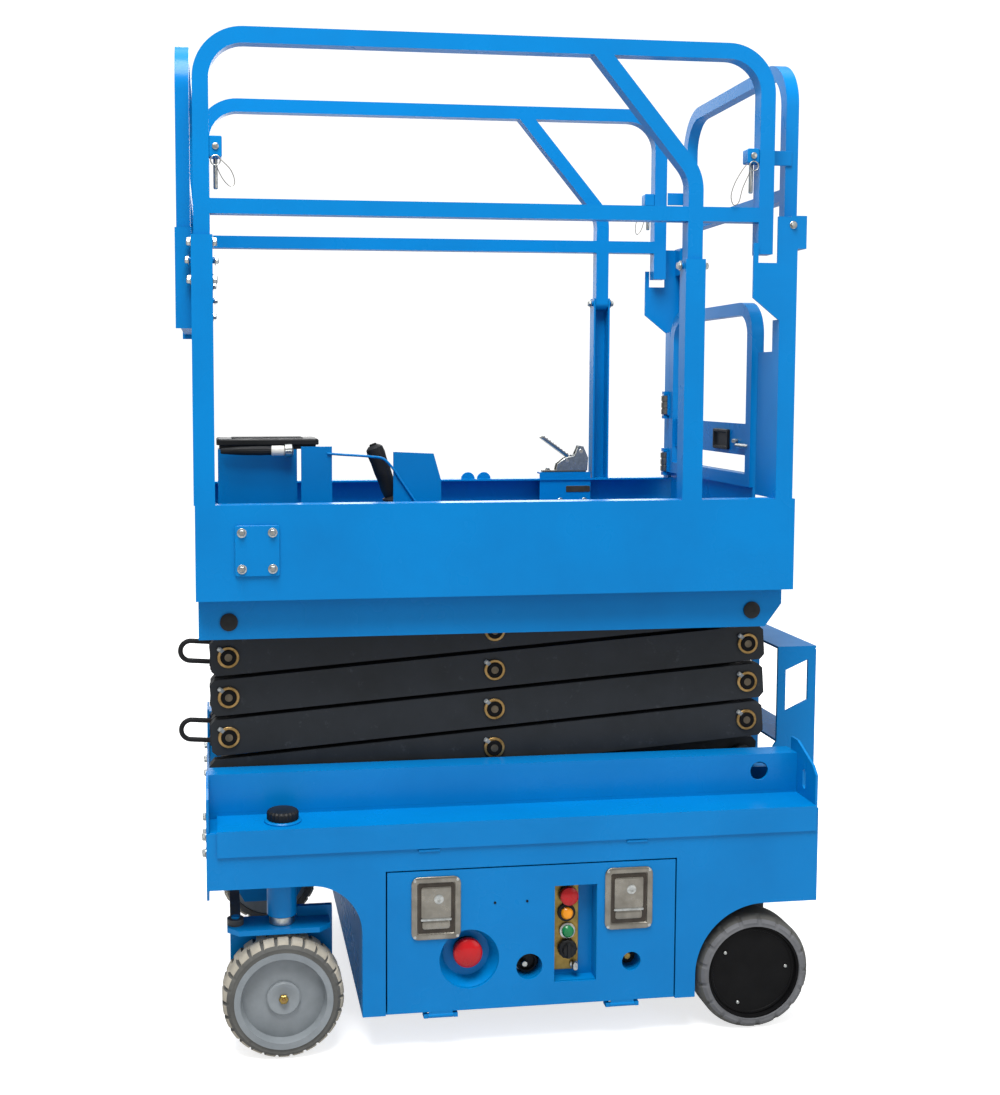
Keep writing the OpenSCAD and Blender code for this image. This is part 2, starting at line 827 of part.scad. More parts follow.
module along_inner(k) {
    translate([left_x, 0, level(k + 1)]) rotate([0, rest_angle, 0]) children();
}

module arm_bar(y0, y1) {
    c = 10;
    h = arm_h / 2;
    x1 = arm_len + arm_end;
    upright(y0, y1 - y0) polygon([[-arm_end, -h + c], [-arm_end + c, -h], [x1 - c, -h], [x1, -h + c],
        [x1, h - c], [x1 - c, h], [-arm_end + c, h], [-arm_end, h - c]]);
}

module outer_arms(k) {
    color(charcoal) along_outer(k) both_sides() difference() {
        arm_bar(-arms_y, -outer_in);
        for (x = [0, arm_len / 2, arm_len])
            rod_y(x, 0, pin_r + run_gap, -arms_y - 1, -outer_in + 1);
    }
}

// Pivot pins, carried by the outer arms: through shafts at the ends, stubs in the middle.
// The second pair's rear pins are stubs too, clear of the lift rod.
module pins(k) {
    y = arms_y;
    past = bush_t + 2;
    first = k == 0;
    last = k == stages - 1;
    reach = y + (first ? 15 : past);
    color(bronze) along_outer(k) {
        both_sides() for (x = [0, arm_len / 2, arm_len]) rod_y(x, 0, bush_r, -y - bush_t, -y - run_gap);
        rod_y(0, 0, pin_r, -reach, reach);
        if (last) both_sides() {
            rod_y(arm_len, 0, pin_r, -y - 30, -outer_in - 0.5);
            rod_y(arm_len, 0, roller_r, -y - 28, -y - past);
        }
        if (k == 1) both_sides() rod_y(arm_len, 0, pin_r, -y - past, -inner_in + 4);
        else if (!last) rod_y(arm_len, 0, pin_r, -y - past, y + past);
        both_sides() rod_y(arm_len / 2, 0, pin_r, -y - past, -inner_in + 4);
    }
}

// The lowest pair carries the lift barrel on its front cross tube and the slide rollers,
// the third pair holds the rod's eye between two lugs
module inner_arms(k) {
    first = k == 0;
    eye_x = arm_len * (1 - tube_share);
    thin_r = tube_r - 2;
    color(charcoal) along_inner(k) {
        both_sides() difference() {
            arm_bar(-inner_out, -inner_in);
            for (x = [0, arm_len / 2])
                rod_y(x, 0, pin_r + run_gap, -inner_out - 1, -inner_in + 1);
            if (!first) rod_y(arm_len, 0, pin_r + open_gap, -inner_out - 1, -inner_in + 1);
        }
        if (k == 2) both_sides() {
            rod_y(eye_x, 0, tube_r, -inner_in - 1, -lug_y - lug_t);
            difference() {
                rod_y(eye_x, 0, eye_r + 4, -lug_y - lug_t, -lug_y);
                rod_y(eye_x, 0, 6, -lug_y - lug_t - 1, -lug_y + 1);
            }
        }
        else rod_y(eye_x, 0, thin_r, -inner_in - 1, inner_in + 1);
        rod_y(arm_len * tube_share, 0, first ? tube_r : thin_r, -inner_in - 1, inner_in + 1);
        if (first) both_sides() {
            rod_y(arm_len, 0, pin_r, -inner_out - 28, -inner_in + 1);
            rod_y(arm_len, 0, roller_r, -inner_out - 28, -inner_out - 7);
        }
    }
}

module outer_arms_1() { outer_arms(0); }
module outer_arms_2() { outer_arms(1); }
module outer_arms_3() { outer_arms(2); }
module outer_arms_4() { outer_arms(3); }
module inner_arms_1() { inner_arms(0); }
module inner_arms_2() { inner_arms(1); }
module inner_arms_3() { inner_arms(2); }
module inner_arms_4() { inner_arms(3); }
module pins_1() { pins(0); }
module pins_2() { pins(1); }
module pins_3() { pins(2); }
module pins_4() { pins(3); }

// Lift cylinder

module along_cylinder() {
    translate([barrel_at.x, 0, barrel_at.y]) rotate([0, -cylinder_tilt, 0]) children();
}

module lift_barrel() {
    color(charcoal) along_cylinder() difference() {
        union() {
            rod_x(0, 0, barrel_r, tube_r + 8, gland_at);
            rod_y(0, 0, eye_r, -barrel_eye_y, barrel_eye_y);
        }
        rod_y(0, 0, tube_r + run_gap, -barrel_eye_y - 1, barrel_eye_y + 1);
        rod_x(0, 0, rod_r + run_gap, 120, gland_at + 1);
    }
}

module lift_rod() {
    color(steel) along_cylinder() {
        rod_x(0, 0, rod_r, 130, cylinder_len - 20);
        difference() {
            rod_y(cylinder_len, 0, eye_r - 4, -rod_eye_y, rod_eye_y);
            rod_y(cylinder_len, 0, 18, -rod_eye_y - 1, rod_eye_y + 1);
        }
    }
}

// Hydraulic hose loop at the front end of an inner arm
module hose_loop(k) {
    bend_x = -(hose_reach - hose_bend - hose_r) / cos(rest_angle);
    color(charcoal) along_inner(k) translate([bend_x, -(inner_out + inner_in) / 2, 0]) rotate([90, 0, 0]) {
        rotate([0, 0, 90]) rotate_extrude(angle = 180) translate([hose_bend, 0]) circle(hose_r);
        for (s = [-1, 1]) translate([0, s * hose_bend, 0]) rotate([0, 90, 0])
            cylinder(r = hose_r, h = -arm_end - bend_x - seat);
    }
}

module hose_low() {
    hose_loop(0);
}

module hose_high() {
    hose_loop(2);
}

// Platform

// Document box, open on top under its lid
module document_box() {
    wall = 3;
    y = 60;
    difference() {
        block([box_x, -y, floor_z - weld], [cradle_x - 6, y, box_top]);
        block([box_x + wall, -y + wall, floor_z + wall], [cradle_x - 6 - wall, y - wall, box_top + 1]);
    }
}

// Cradle of the joystick: two folded brackets and a shelf between them
module cradle() {
    wall = 4;
    a = 64;
    b0 = stick_x - 11;
    b1 = stick_x + 90;
    z = floor_z - weld;
    upright(cradle_y, wall) {
        polygon([[cradle_x, z], [cradle_x + a, z], [cradle_x + a, floor_z + 262], [cradle_x, floor_z + 262]]);
        polygon([[b0, z], [b1, z], [b1, floor_z + 190], [b1 - 16, floor_z + 246], [b0, floor_z + 250]]);
    }
    block([cradle_x + a - wall, cradle_y, z], [cradle_x + a, cradle_y + 70, floor_z + 240]);
    block([cradle_x + 4, cradle_y + 0.5, cradle_z], [b1 - 4, cradle_y + 90, cradle_z + sheet_t]);
}

// Floor with side channels, tracks of the top rollers and the front pivot of the platform
module deck() {
    track_z = top_z + roller_r + roll_gap;
    track_t = 8;
    x0 = deck_x0 + skirt_t + seat;
    x1 = deck_x1 - 8;
    y = skirt_y - skirt_t - seat;
    under = floor_z - deck_t + weld;
    lug = 8;
    color(blue) {
        block([x0, -y, floor_z - deck_t], [deck_x1 - skirt_t, y, floor_z]);
        both_sides() {
            upright(-channel_y, deck_t) polygon([[x0, channel_low], [x1 - 34, channel_low],
                [x1, channel_low + 46], [x1, under], [x0, under]]);
            block([right_x - track_len, -channel_y, track_z], [x1 - 4, -arms_y - 9, track_z + track_t]);
            block([x0, -channel_y, channel_low], [x1 - 38, -arms_y - 12, channel_low + deck_t]);
            for (y = [inner_out + 3, inner_in - 11])
                block([left_x - 40, -y - lug, top_z - 24], [left_x + 40, -y, under]);
            rod_y(left_x, top_z, pin_r, -inner_out - 13, -inner_in + 13);
        }
        document_box();
        cradle();
    }
}

// Toe boards all round but at the entry, and the bracket of the pedal latch on the far one
module skirt() {
    y = skirt_y;
    color(blue) {
        both_sides() {
            block([deck_x0, -y, skirt_low], [deck_x1, -y + skirt_t, skirt_top]);
            block([deck_x0, -y, skirt_top - skirt_t], [deck_x1, -y + skirt_flange, skirt_top]);
        }
        block([deck_x0, -y, skirt_low], [deck_x0 + skirt_t, y, skirt_top]);
        block([deck_x1 - skirt_t, -y, skirt_low], [deck_x1, y, floor_z - deck_t - seat]);
        block([pedal_x, pedal_y, skirt_top - 80], [pedal_x + 126, pedal_y + skirt_t, pedal_z]);
        block([pedal_x, pedal_y, pedal_z - skirt_t], [pedal_x + 126, y - 8, pedal_z]);
    }
}

// Channel post that holds a rail's leg, open towards the inside, with the leg's pivot pin
module channel_post(x, pivot, rise) {
    w = tube / 2 + post_gap;
    depth = tube + post_wall;
    top = pivot + rise;
    block([x - w - post_wall, -skirt_y, skirt_top], [x + w + post_wall, -skirt_y + post_wall, top]);
    for (x0 = [x - w - post_wall, x + w])
        block([x0, -skirt_y, skirt_top], [x0 + post_wall, -skirt_y + depth, top]);
    rod_x(-rail_y + tube / 2, pivot, hoop_pin_r, x - w - post_wall - 4, x + w + post_wall + 4);
}

// Rear post: a plate that widens at the top, with a pocket for the side rail's free leg, and two flanges
module rear_post() {
    x1 = deck_x1 - 6;
    x0 = x1 - 35;
    wide = rail_rear - 41;
    pocket = rail_rear + 8;
    tab = 10;
    top = rear_pivot_z + 16;
    flange = 32;
    upright(-skirt_y, post_wall) polygon([[x0, skirt_top], [x1, skirt_top], [x1, top], [pocket, top],
        [pocket, near_pivot_z + 6], [wide + tab, near_pivot_z + 6], [wide + tab, near_pivot_z + 44],
        [wide, near_pivot_z + 44], [wide, near_pivot_z - 62], [x0, near_pivot_z - 106]]);
    block([x0, -skirt_y, skirt_top], [x0 + post_wall, -skirt_y + flange, near_pivot_z - 104]);
    block([x1 - post_wall, -skirt_y, skirt_top], [x1, -skirt_y + flange, rear_pivot_z - 30]);
}

// Bracket in front of a front post, with the front hoop's pivot pin
module front_bracket() {
    x = front_hoop_x;
    w = hoop_tube / 2 + 3;
    y = -skirt_y + tube + post_wall;
    low = near_pivot_z - 126;
    block([x - w, y, low], [rail_x0 + tube, y + post_wall, low + 62]);
    block([x - w, y, low], [x + w - 1, y + post_wall, front_pivot_z + 18]);
    rod_y(x, front_pivot_z, hoop_pin_r, y, -hoop_y + hoop_tube + 4);
    block([x - w + 4, y, low + 10], [x + w - 3, 1, low + 36]);
}

// Bracket on a rear post, with the rear hoop's pivot pin
module rear_bracket() {
    x = rear_hoop_x;
    w = hoop_tube / 2 + 3;
    block([x - w, -skirt_y, rear_pivot_z - 46], [x + w, -hoop_y - 3, rear_pivot_z + 18]);
    rod_y(x, rear_pivot_z, hoop_pin_r, -hoop_y - 4, -hoop_y + hoop_tube + 4);
}

// Fixed half of the gate hinges, on the far rear post
module hinge_lugs() {
    lug = 8;
    for (h = hinge_h) translate([0, 0, skirt_top + h]) {
        for (z = [0, 58])
            block([hinge_x - 7, hinge_y - 7, z], [deck_x1 - 30, skirt_y - 30, z + lug]);
        translate([hinge_x, hinge_y, 0]) cylinder(r = hinge_r, h = 58 + lug);
    }
}

module front_frame() {
    color(blue) for (s = [0, 1]) mirror([0, s, 0]) {
        channel_post(rail_x0 + tube / 2, pivot_z[s], front_rise);
        front_bracket();
    }
}

module guard_posts() {
    color(blue) {
        for (s = [0, 1]) mirror([0, s, 0]) {
            channel_post(post_x, pivot_z[s], post_rise);
            rear_post();
            rear_bracket();
        }
        hinge_lugs();
        // Latch strip on the near rear post
        block([hinge_x + 12, -skirt_y + 30, skirt_top], [hinge_x + 20, gate_y0 - 14, skirt_top + 292]);
    }
}

// Side rail, drawn upright on the near side, its legs ending in round knuckles at the pivot
module side_rail(pivot) {
    t = tube;
    x0 = rail_x0;
    x1 = rail_rear;
    px = post_x - t / 2;
    brace_z = rail_top - bend_r - brace_drop;
    brace_len = (rail_top - t + weld - brace_z - (bend_r - t) * sin(brace_angle)) / cos(brace_angle);
    color(blue) difference() {
        union() {
            upright(-rail_y, t) {
                difference() {
                    hoop2d(x0, x1, pivot, rail_top, t, bend_r);
                    translate([x1 - t - 1, pivot - 1]) square([t + 2, leg_low - pivot + 1]);
                }
                translate([x0 + weld, mid_bar_top - t + 2]) square([x1 - x0 - 2 * weld, t - 2]);
                translate([px, pivot]) square([t, brace_z - pivot]);
                translate([px + t - bend_r, brace_z]) {
                    bend2d(bend_r, t, brace_angle);
                    rotate(brace_angle) translate([bend_r - t + inset, -weld])
                        square([t - 2 * inset, brace_len + weld]);
                }
            }
            for (x = [x0, px]) rod_x(-rail_y + t / 2, pivot, t / 2, x, x + t);
        }
        for (x = [x0, px]) rod_x(-rail_y + t / 2, pivot, hoop_pin_r + run_gap, x - 1, x + t + 1);
    }
}

module rail_near() {
    side_rail(pivot_z[0]);
}

module rail_far() {
    mirror([0, 1, 0]) side_rail(pivot_z[1]);
}

// End hoop across the machine, its legs ending in round knuckles at the pivot
module end_hoop(x, pivot) {
    t = hoop_tube;
    color(blue) difference() {
        union() {
            crosswise(x - t / 2, t) {
                hoop2d(-hoop_y, hoop_y, pivot, hoop_top, t, bend_r);
                translate([-hoop_y + weld, mid_bar_top + 20]) square([2 * hoop_y - 2 * weld, t - 2]);
            }
            both_sides() rod_y(x, pivot, t / 2, -hoop_y, -hoop_y + t);
        }
        both_sides() rod_y(x, pivot, hoop_pin_r + run_gap, -hoop_y - 1, -hoop_y + t + 1);
    }
}

module rail_front() {
    end_hoop(front_hoop_x, front_pivot_z);
}

module rail_rear() {
    end_hoop(rear_hoop_x, rear_pivot_z);
}

// Entry gate: a bent tube, a cross plate, a toe plate below and the moving half of the hinges
module gate() {
    t = gate_tube;
    x = hinge_x + 4;
    plate = [x + 8, x + 14];
    color(blue) {
        crosswise(x, t) {
            hoop2d(gate_y0, gate_y1, gate_low, gate_top, t, 70);
            translate([gate_y0, gate_low]) square([gate_y1 - gate_y0, t]);
        }
        block([plate[0], gate_y0 + weld, skirt_top + 78], [plate[1], gate_y1 - weld, skirt_top + 144]);
        block([plate[0], gate_y0, floor_z + 10], [plate[1], gate_y1, gate_low + 1]);
        for (h = hinge_h) translate([0, 0, skirt_top + h]) difference() {
            union() {
                translate([hinge_x, hinge_y, 9]) cylinder(r = hinge_r + 4, h = 48);
                block([hinge_x, gate_y1 - 4, 9], [x + 6, hinge_y, 57]);
            }
            translate([hinge_x, hinge_y, 0]) cylinder(r = hinge_r + run_gap, h = 66);
        }
    }
}

// Lid of the document box, and the joystick on its cradle
module platform_controls() {
    lid_t = 22;
    lean = 20;
    color(dark) {
        block([box_x - 3, -63, box_top + seat], [cradle_x + 40, 63, box_top + lid_t]);
        translate([stick_x, cradle_y + 45, cradle_z + sheet_t + seat]) {
            cylinder(r = 30, h = 24);
            translate([0, 0, 10]) rotate([0, -lean, 0]) cylinder(r = 16, h = 138);
        }
    }
}

// Pedal latch: a base, two cheeks and a tilted pedal
module pedal_latch() {
    y0 = pedal_y;
    y1 = skirt_y - 12;
    z = pedal_z + seat;
    cheek = 4;
    color(steel) {
        block([pedal_x + 8, y0, z], [pedal_x + 116, y1, z + sheet_t]);
        for (y = [y0, y1 - cheek]) upright(y + inset, cheek - 2 * inset)
            polygon([[pedal_x + 20, z + 1], [pedal_x + 104, z + 1], [pedal_x + 96, z + 58],
                [pedal_x + 60, z + 70]]);
        translate([pedal_x + 74, y0, z + 62]) rotate([0, 32, 0])
            block([-66, 0.5, -5], [20, y1 - y0 - 0.5, 4]);
    }
}

module place() {
    translate([-mid_x, 0, 0]) children();
}

place() chassis_pan();
place() scissor_bay();
place() bay_walls();
place() side_panels();
place() side_covers();
place() end_plates();
place() entry_ladder();
place() front_beam();
place() drive_units();
place() battery_pack();
place() power_unit();
place() control_plate();
place() stop_button();
place() switch_set();
place() door_near();
place() latches_near();
place() door_far();
place() latches_far();
place() knuckle_near();
place() knuckle_far();
place() tie_rod();
place() tyre_front_near();
place() rim_front_near();
place() tyre_front_far();
place() rim_front_far();
place() tyre_rear_near();
place() rim_rear_near();
place() tyre_rear_far();
place() rim_rear_far();
place() outer_arms_1();
place() outer_arms_2();
place() outer_arms_3();
place() outer_arms_4();
place() inner_arms_1();
place() inner_arms_2();
place() inner_arms_3();
place() inner_arms_4();
place() pins_1();
place() pins_2();
place() pins_3();
place() pins_4();
place() lift_barrel();
place() lift_rod();
place() hose_low();
place() hose_high();
place() deck();
place() skirt();
place() front_frame();
place() guard_posts();
place() rail_near();
place() rail_far();
place() rail_front();
place() rail_rear();
place() gate();
place() platform_controls();
place() pedal_latch();
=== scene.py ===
"""Looks of a mini self-propelled scissor lift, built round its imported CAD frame.

The frame is in metres: +X runs to the entry ladder, +Y to the far side, +Z up. Forms are drawn in
millimetres from the middle of the chassis, which lies MID_X behind the frame's origin.
"""

from __future__ import annotations

import json
import logging
import math
from dataclasses import dataclass, field
from enum import Enum
from typing import Any, Iterable

import bpy
import numpy as np
from mathutils import Matrix, Vector


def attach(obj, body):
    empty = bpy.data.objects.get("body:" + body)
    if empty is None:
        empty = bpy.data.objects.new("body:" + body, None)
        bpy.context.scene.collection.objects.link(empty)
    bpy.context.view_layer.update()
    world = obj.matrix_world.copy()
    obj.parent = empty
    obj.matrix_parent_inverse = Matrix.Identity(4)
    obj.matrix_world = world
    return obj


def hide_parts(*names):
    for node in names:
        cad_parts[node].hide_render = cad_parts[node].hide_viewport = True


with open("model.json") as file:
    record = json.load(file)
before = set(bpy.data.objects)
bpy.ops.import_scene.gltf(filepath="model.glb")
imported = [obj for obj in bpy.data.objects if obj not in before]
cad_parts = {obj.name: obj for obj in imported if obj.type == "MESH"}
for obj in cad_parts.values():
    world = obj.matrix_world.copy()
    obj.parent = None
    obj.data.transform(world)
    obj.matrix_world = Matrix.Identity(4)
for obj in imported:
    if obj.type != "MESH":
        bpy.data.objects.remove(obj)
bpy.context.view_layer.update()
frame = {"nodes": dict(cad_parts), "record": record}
LOG = logging.getLogger("scissor_lift")
# Metres in a millimetre, and the chassis middle's distance from the frame's origin in mm
MM = 0.001
MID_X = 19.5
# Smallest corner radius of a stacked shape in mm, and the angle past which an edge is shaded sharp
LEAST_CORNER = 0.6
SHARP_ANGLE = 35.0
WHITE = "#FFFFFF"

Pair = tuple[float, float]
Spot = tuple[float, float, float]
Colour = tuple[float, float, float, float]


# Colour and shader nodes


def linear(colour: str) -> Colour:
    """Turns an sRGB hex colour into linear RGBA.

    Args:
        colour: Hex colour such as "#0A84D0".

    Returns:
        Linear red, green and blue, and full opacity.
    """
    part = np.array([int(colour[i:i + 2], 16) for i in (1, 3, 5)]) / 255.0
    rgb = np.where(part <= 0.04045, part / 12.92, ((part + 0.055) / 1.055) ** 2.4)
    return (float(rgb[0]), float(rgb[1]), float(rgb[2]), 1.0)


def add_node(tree: bpy.types.NodeTree, kind: str, inputs: dict[Any, Any] | None = None,
             **settings: Any) -> bpy.types.Node:
    """Adds one shader node with its settings, values and links.

    Args:
        tree: Node tree of the material.
        kind: Node type, such as "ShaderNodeTexNoise".
        inputs: Socket name or index to a value or to another node's output socket.
        settings: Attributes set on the node itself.

    Returns:
        The new node.
    """
    made = tree.nodes.new(kind)
    for key, value in settings.items():
        setattr(made, key, value)
    for key, value in (inputs or {}).items():
        if isinstance(value, bpy.types.NodeSocket):
            tree.links.new(value, made.inputs[key])
        else:
            made.inputs[key].default_value = value
    return made


def set_stops(ramp: bpy.types.Node, stops: Iterable[tuple[float, Colour]]) -> bpy.types.Node:
    """Sets a colour ramp's stops.

    Args:
        ramp: The ramp node.
        stops: Position and linear colour of each stop, lowest first.

    Returns:
        The same node.
    """
    elements = ramp.color_ramp.elements
    for i, (place, colour) in enumerate(stops):
        stop = elements[i] if i < 2 else elements.new(place)
        stop.position, stop.color = place, colour
    return ramp


def per_metre(size_mm: float) -> float:
    """Noise scale whose features are about size_mm across, on Object coordinates in metres."""
    return 1000.0 / size_mm


@dataclass(frozen=True)
class Finish:
    """A surface finish: a base colour that varies a little, a roughness that varies, and a fine bump.

    Attributes:
        name: Common name of the material and how its surface was made.
        colour: Main colour, sRGB hex.
        second: Colour that the patches lean towards.
        patch_mm: Size of the colour patches.
        rough: Lowest and highest roughness.
        grain_mm: Size of the bump's grain.
        bump_mm: Height of the bump.
        metallic: Share of metal.
        ior: Refractive index of the clear surface, where it isn't metal.
        coat: Weight of a clear coat.
        specular: Level of the clear surface's reflection.
        stretch: Stretch of the grain along X, Y and Z, for a brushed surface.
        speck: Colour of small specks, or empty for none.
        speck_mm: Spacing of the specks.
    """

    name: str
    colour: str
    second: str
    patch_mm: float = 220.0
    rough: Pair = (0.3, 0.4)
    grain_mm: float = 2.0
    bump_mm: float = 0.02
    metallic: float = 0.0
    ior: float = 1.5
    coat: float = 0.0
    specular: float = 0.3
    stretch: Spot = (1.0, 1.0, 1.0)
    speck: str = ""
    speck_mm: float = 14.0

    def build(self) -> bpy.types.Material:
        """Makes the material.

        Returns:
            The material, with its nodes on Object coordinates.
        """
        material = bpy.data.materials.new(self.name)
        material.use_nodes = True
        tree = material.node_tree
        tree.nodes.clear()
        place = add_node(tree, "ShaderNodeTexCoord").outputs["Object"]
        patches = add_node(tree, "ShaderNodeTexNoise", {
            "Vector": place, "Scale": per_metre(self.patch_mm), "Detail": 4.0, "Roughness": 0.6})
        tint = set_stops(add_node(tree, "ShaderNodeValToRGB", {"Fac": patches.outputs["Fac"]}),
                         [(0.35, linear(self.colour)), (0.72, linear(self.second))])
        colour = tint.outputs["Color"]
        if self.speck:
            cells = add_node(tree, "ShaderNodeTexNoise", {
                "Vector": place, "Scale": per_metre(self.speck_mm), "Detail": 6.0, "Roughness": 0.75})
            where = add_node(tree, "ShaderNodeMapRange", {
                "Value": cells.outputs["Fac"], "From Min": 0.6, "From Max": 0.72, "To Min": 0.0,
                "To Max": 0.7})
            # A colour mix has its factor at socket 0, its colours at 6 and 7, and its result at 2
            mix = add_node(tree, "ShaderNodeMix", {
                0: where.outputs["Result"], 6: colour, 7: linear(self.speck)}, data_type="RGBA")
            colour = mix.outputs[2]
        turned = add_node(tree, "ShaderNodeMapping", {"Vector": place, "Scale": self.stretch})
        grain = add_node(tree, "ShaderNodeTexNoise", {
            "Vector": turned.outputs["Vector"], "Scale": per_metre(self.grain_mm), "Detail": 3.0,
            "Roughness": 0.55})
        gloss = add_node(tree, "ShaderNodeMapRange", {
            "Value": patches.outputs["Fac"], "From Min": 0.3, "From Max": 0.75,
            "To Min": self.rough[0], "To Max": self.rough[1]})
        bump = add_node(tree, "ShaderNodeBump", {
            "Height": grain.outputs["Fac"], "Strength": 1.0, "Distance": self.bump_mm * MM})
        shader = add_node(tree, "ShaderNodeBsdfPrincipled", {
            "Base Color": colour, "Roughness": gloss.outputs["Result"], "Normal": bump.outputs["Normal"],
            "Metallic": self.metallic, "IOR": self.ior, "Specular IOR Level": self.specular,
            "Coat Weight": self.coat, "Coat Roughness": 0.12})
        add_node(tree, "ShaderNodeOutputMaterial", {"Surface": shader.outputs["BSDF"]})
        return material


class Surface(Enum):
    """The lift's finishes."""

    # Gloss enamel over primed sheet: deep, even colour, soft reflections and a faint orange peel.
    BLUE = Finish("gloss_blue_enamel", "#0073B6", "#006BAB", 260.0, (0.24, 0.34), 3.0, 0.012, specular=0.15)
    # Satin powder coat on rolled tube: dull, slightly pebbled, with lighter dust.
    CHARCOAL = Finish("satin_charcoal_powder_coat", "#1F2225", "#282B2F", 120.0, (0.42, 0.6), 1.6, 0.03,
                      specular=0.2, speck="#3A3D41", speck_mm=26.0)
    # Turned bronze bush, a little tarnished.
    BRONZE = Finish("turned_bronze", "#A98A5A", "#7C6238", 18.0, (0.3, 0.5), 0.8, 0.015, metallic=1.0)
    # Ground pin steel, oiled and a little browned.
    PIN = Finish("oiled_pin_steel", "#6A6153", "#4D463C", 30.0, (0.35, 0.55), 0.9, 0.012, metallic=1.0)
    # Non-marking tyre compound: pale, dry and dusty.
    TYRE_PALE = Finish("moulded_non_marking_rubber", "#A59F92", "#8B867B", 45.0, (0.75, 0.92), 2.2, 0.08,
                       specular=0.2, speck="#6A665D", speck_mm=16.0)
    # The same compound, darker, on the front side walls and rear treads, and as painted shade in the front
    # tyres' grooves.
    TYRE_DARK_AND_GROOVE_SHADE = Finish("dark_non_marking_rubber_and_groove_shade", "#4E4E4C", "#5A5A57", 40.0, (0.7, 0.9), 2.2, 0.08,
                       specular=0.2, speck="#3B3A37", speck_mm=18.0)
    # Rear tyres of the same compound, worn smooth and greyer.
    TYRE_GREY = Finish("worn_non_marking_rubber", "#66676A", "#5A5B5E", 45.0, (0.7, 0.9), 2.0, 0.06,
                       specular=0.2, speck="#4B4B4A", speck_mm=20.0)
    # Sprayed cast rim.
    RIM = Finish("satin_grey_rim_paint", "#82888C", "#72787C", 60.0, (0.38, 0.52), 2.0, 0.03)
    # Black painted hub disc.
    HUB = Finish("satin_black_hub_paint", "#0E0E0F", "#151516", 50.0, (0.4, 0.55), 2.0, 0.02, specular=0.07)
    # Moulded polypropylene with a fine spark-eroded grain.
    PLASTIC = Finish("moulded_black_plastic", "#151617", "#1F2022", 60.0, (0.42, 0.58), 1.2, 0.03,
                     specular=0.2)
    # Gloss moulded button cap.
    RED = Finish("gloss_red_button", "#BA0912", "#A4070F", 40.0, (0.2, 0.3), 2.0, 0.01, coat=0.1)
    # Lamp lenses and caps.
    AMBER = Finish("amber_lamp_lens", "#E8930C", "#D07F05", 20.0, (0.2, 0.3), 2.0, 0.01, coat=0.1)
    GREEN = Finish("green_lamp_lens", "#137A45", "#0E6A3A", 20.0, (0.2, 0.3), 2.0, 0.01, coat=0.1)
    # Satin case moulding of hidden units.
    CASE = Finish("moulded_grey_case", "#3A3C3F", "#2D2F31", 90.0, (0.5, 0.65), 1.5, 0.03)
    # Sprayed machine castings.
    CASTING = Finish("sprayed_grey_casting", "#46484B", "#37393B", 60.0, (0.45, 0.6), 2.5, 0.08)
    # Pressed stainless sheet, brushed across.
    STAINLESS = Finish("brushed_stainless_sheet", "#908C83", "#736F67", 40.0, (0.24, 0.38), 0.9, 0.01,
                       metallic=1.0, stretch=(0.06, 1.0, 1.0))
    # Painted shade: a dark brown-grey steel sheet laid in a pressed tray's gap and in a bracket's slot, where
    # only shade falls.
    PAINTED_SHADE = Finish("painted_shade_dark_steel", "#3A332B", "#2C2620", 20.0, (0.4, 0.6), 1.0, 0.01)
    # Bright zinc on small hardware, uneven in sheen.
    ZINC = Finish("bright_zinc_plate", "#B9BBB8", "#8F928F", 9.0, (0.25, 0.42), 0.7, 0.008, metallic=1.0)
    # Yellow-passivated zinc on switch plates: dull gold with a patchy sheen.
    YELLOW_ZINC = Finish("yellow_passivated_zinc", "#9A8248", "#7F6A36", 16.0, (0.32, 0.5), 0.8, 0.01,
                         metallic=0.9)
    # White moulded connector collar.
    NYLON = Finish("moulded_white_nylon", "#E4E1DA", "#D2CEC4", 30.0, (0.4, 0.55), 1.2, 0.02)
    # Hard chrome, ground and polished.
    CHROME = Finish("hard_chrome", "#D4D6D8", "#C4C6C8", 60.0, (0.06, 0.12), 1.0, 0.002, metallic=1.0)
    # Hose cover, matte with a cloth-wrap mark.
    HOSE = Finish("wrapped_hose_rubber", "#141416", "#1D1D1F", 30.0, (0.55, 0.7), 1.2, 0.05, specular=0.2)


SLOT_SURFACE: dict[str, Surface] = {
    "blue_paint": Surface.BLUE, "charcoal_paint": Surface.CHARCOAL, "pin_bronze": Surface.PIN,
    "tyre_rubber": Surface.TYRE_PALE, "rim_grey": Surface.RIM, "hub_black": Surface.HUB,
    "black_plastic": Surface.PLASTIC, "red_plastic": Surface.RED, "case_plastic": Surface.CASE,
    "machine_grey": Surface.CASTING, "stainless": Surface.STAINLESS, "rod_chrome": Surface.CHROME,
    "hose_rubber": Surface.HOSE,
}


# Shapes in arrays, drawn in millimetres from the chassis middle


class Face(Enum):
    """Ways that a flat shape can face: rows of the matrix that turns its X, Y and Z into the part's."""

    TOP = ((1, 0, 0), (0, 1, 0), (0, 0, 1))
    NEAR = ((1, 0, 0), (0, 0, -1), (0, 1, 0))
    FAR = ((-1, 0, 0), (0, 0, 1), (0, 1, 0))
    REAR = ((0, 0, 1), (1, 0, 0), (0, 1, 0))
    FRONT = ((0, 0, -1), (-1, 0, 0), (0, 1, 0))


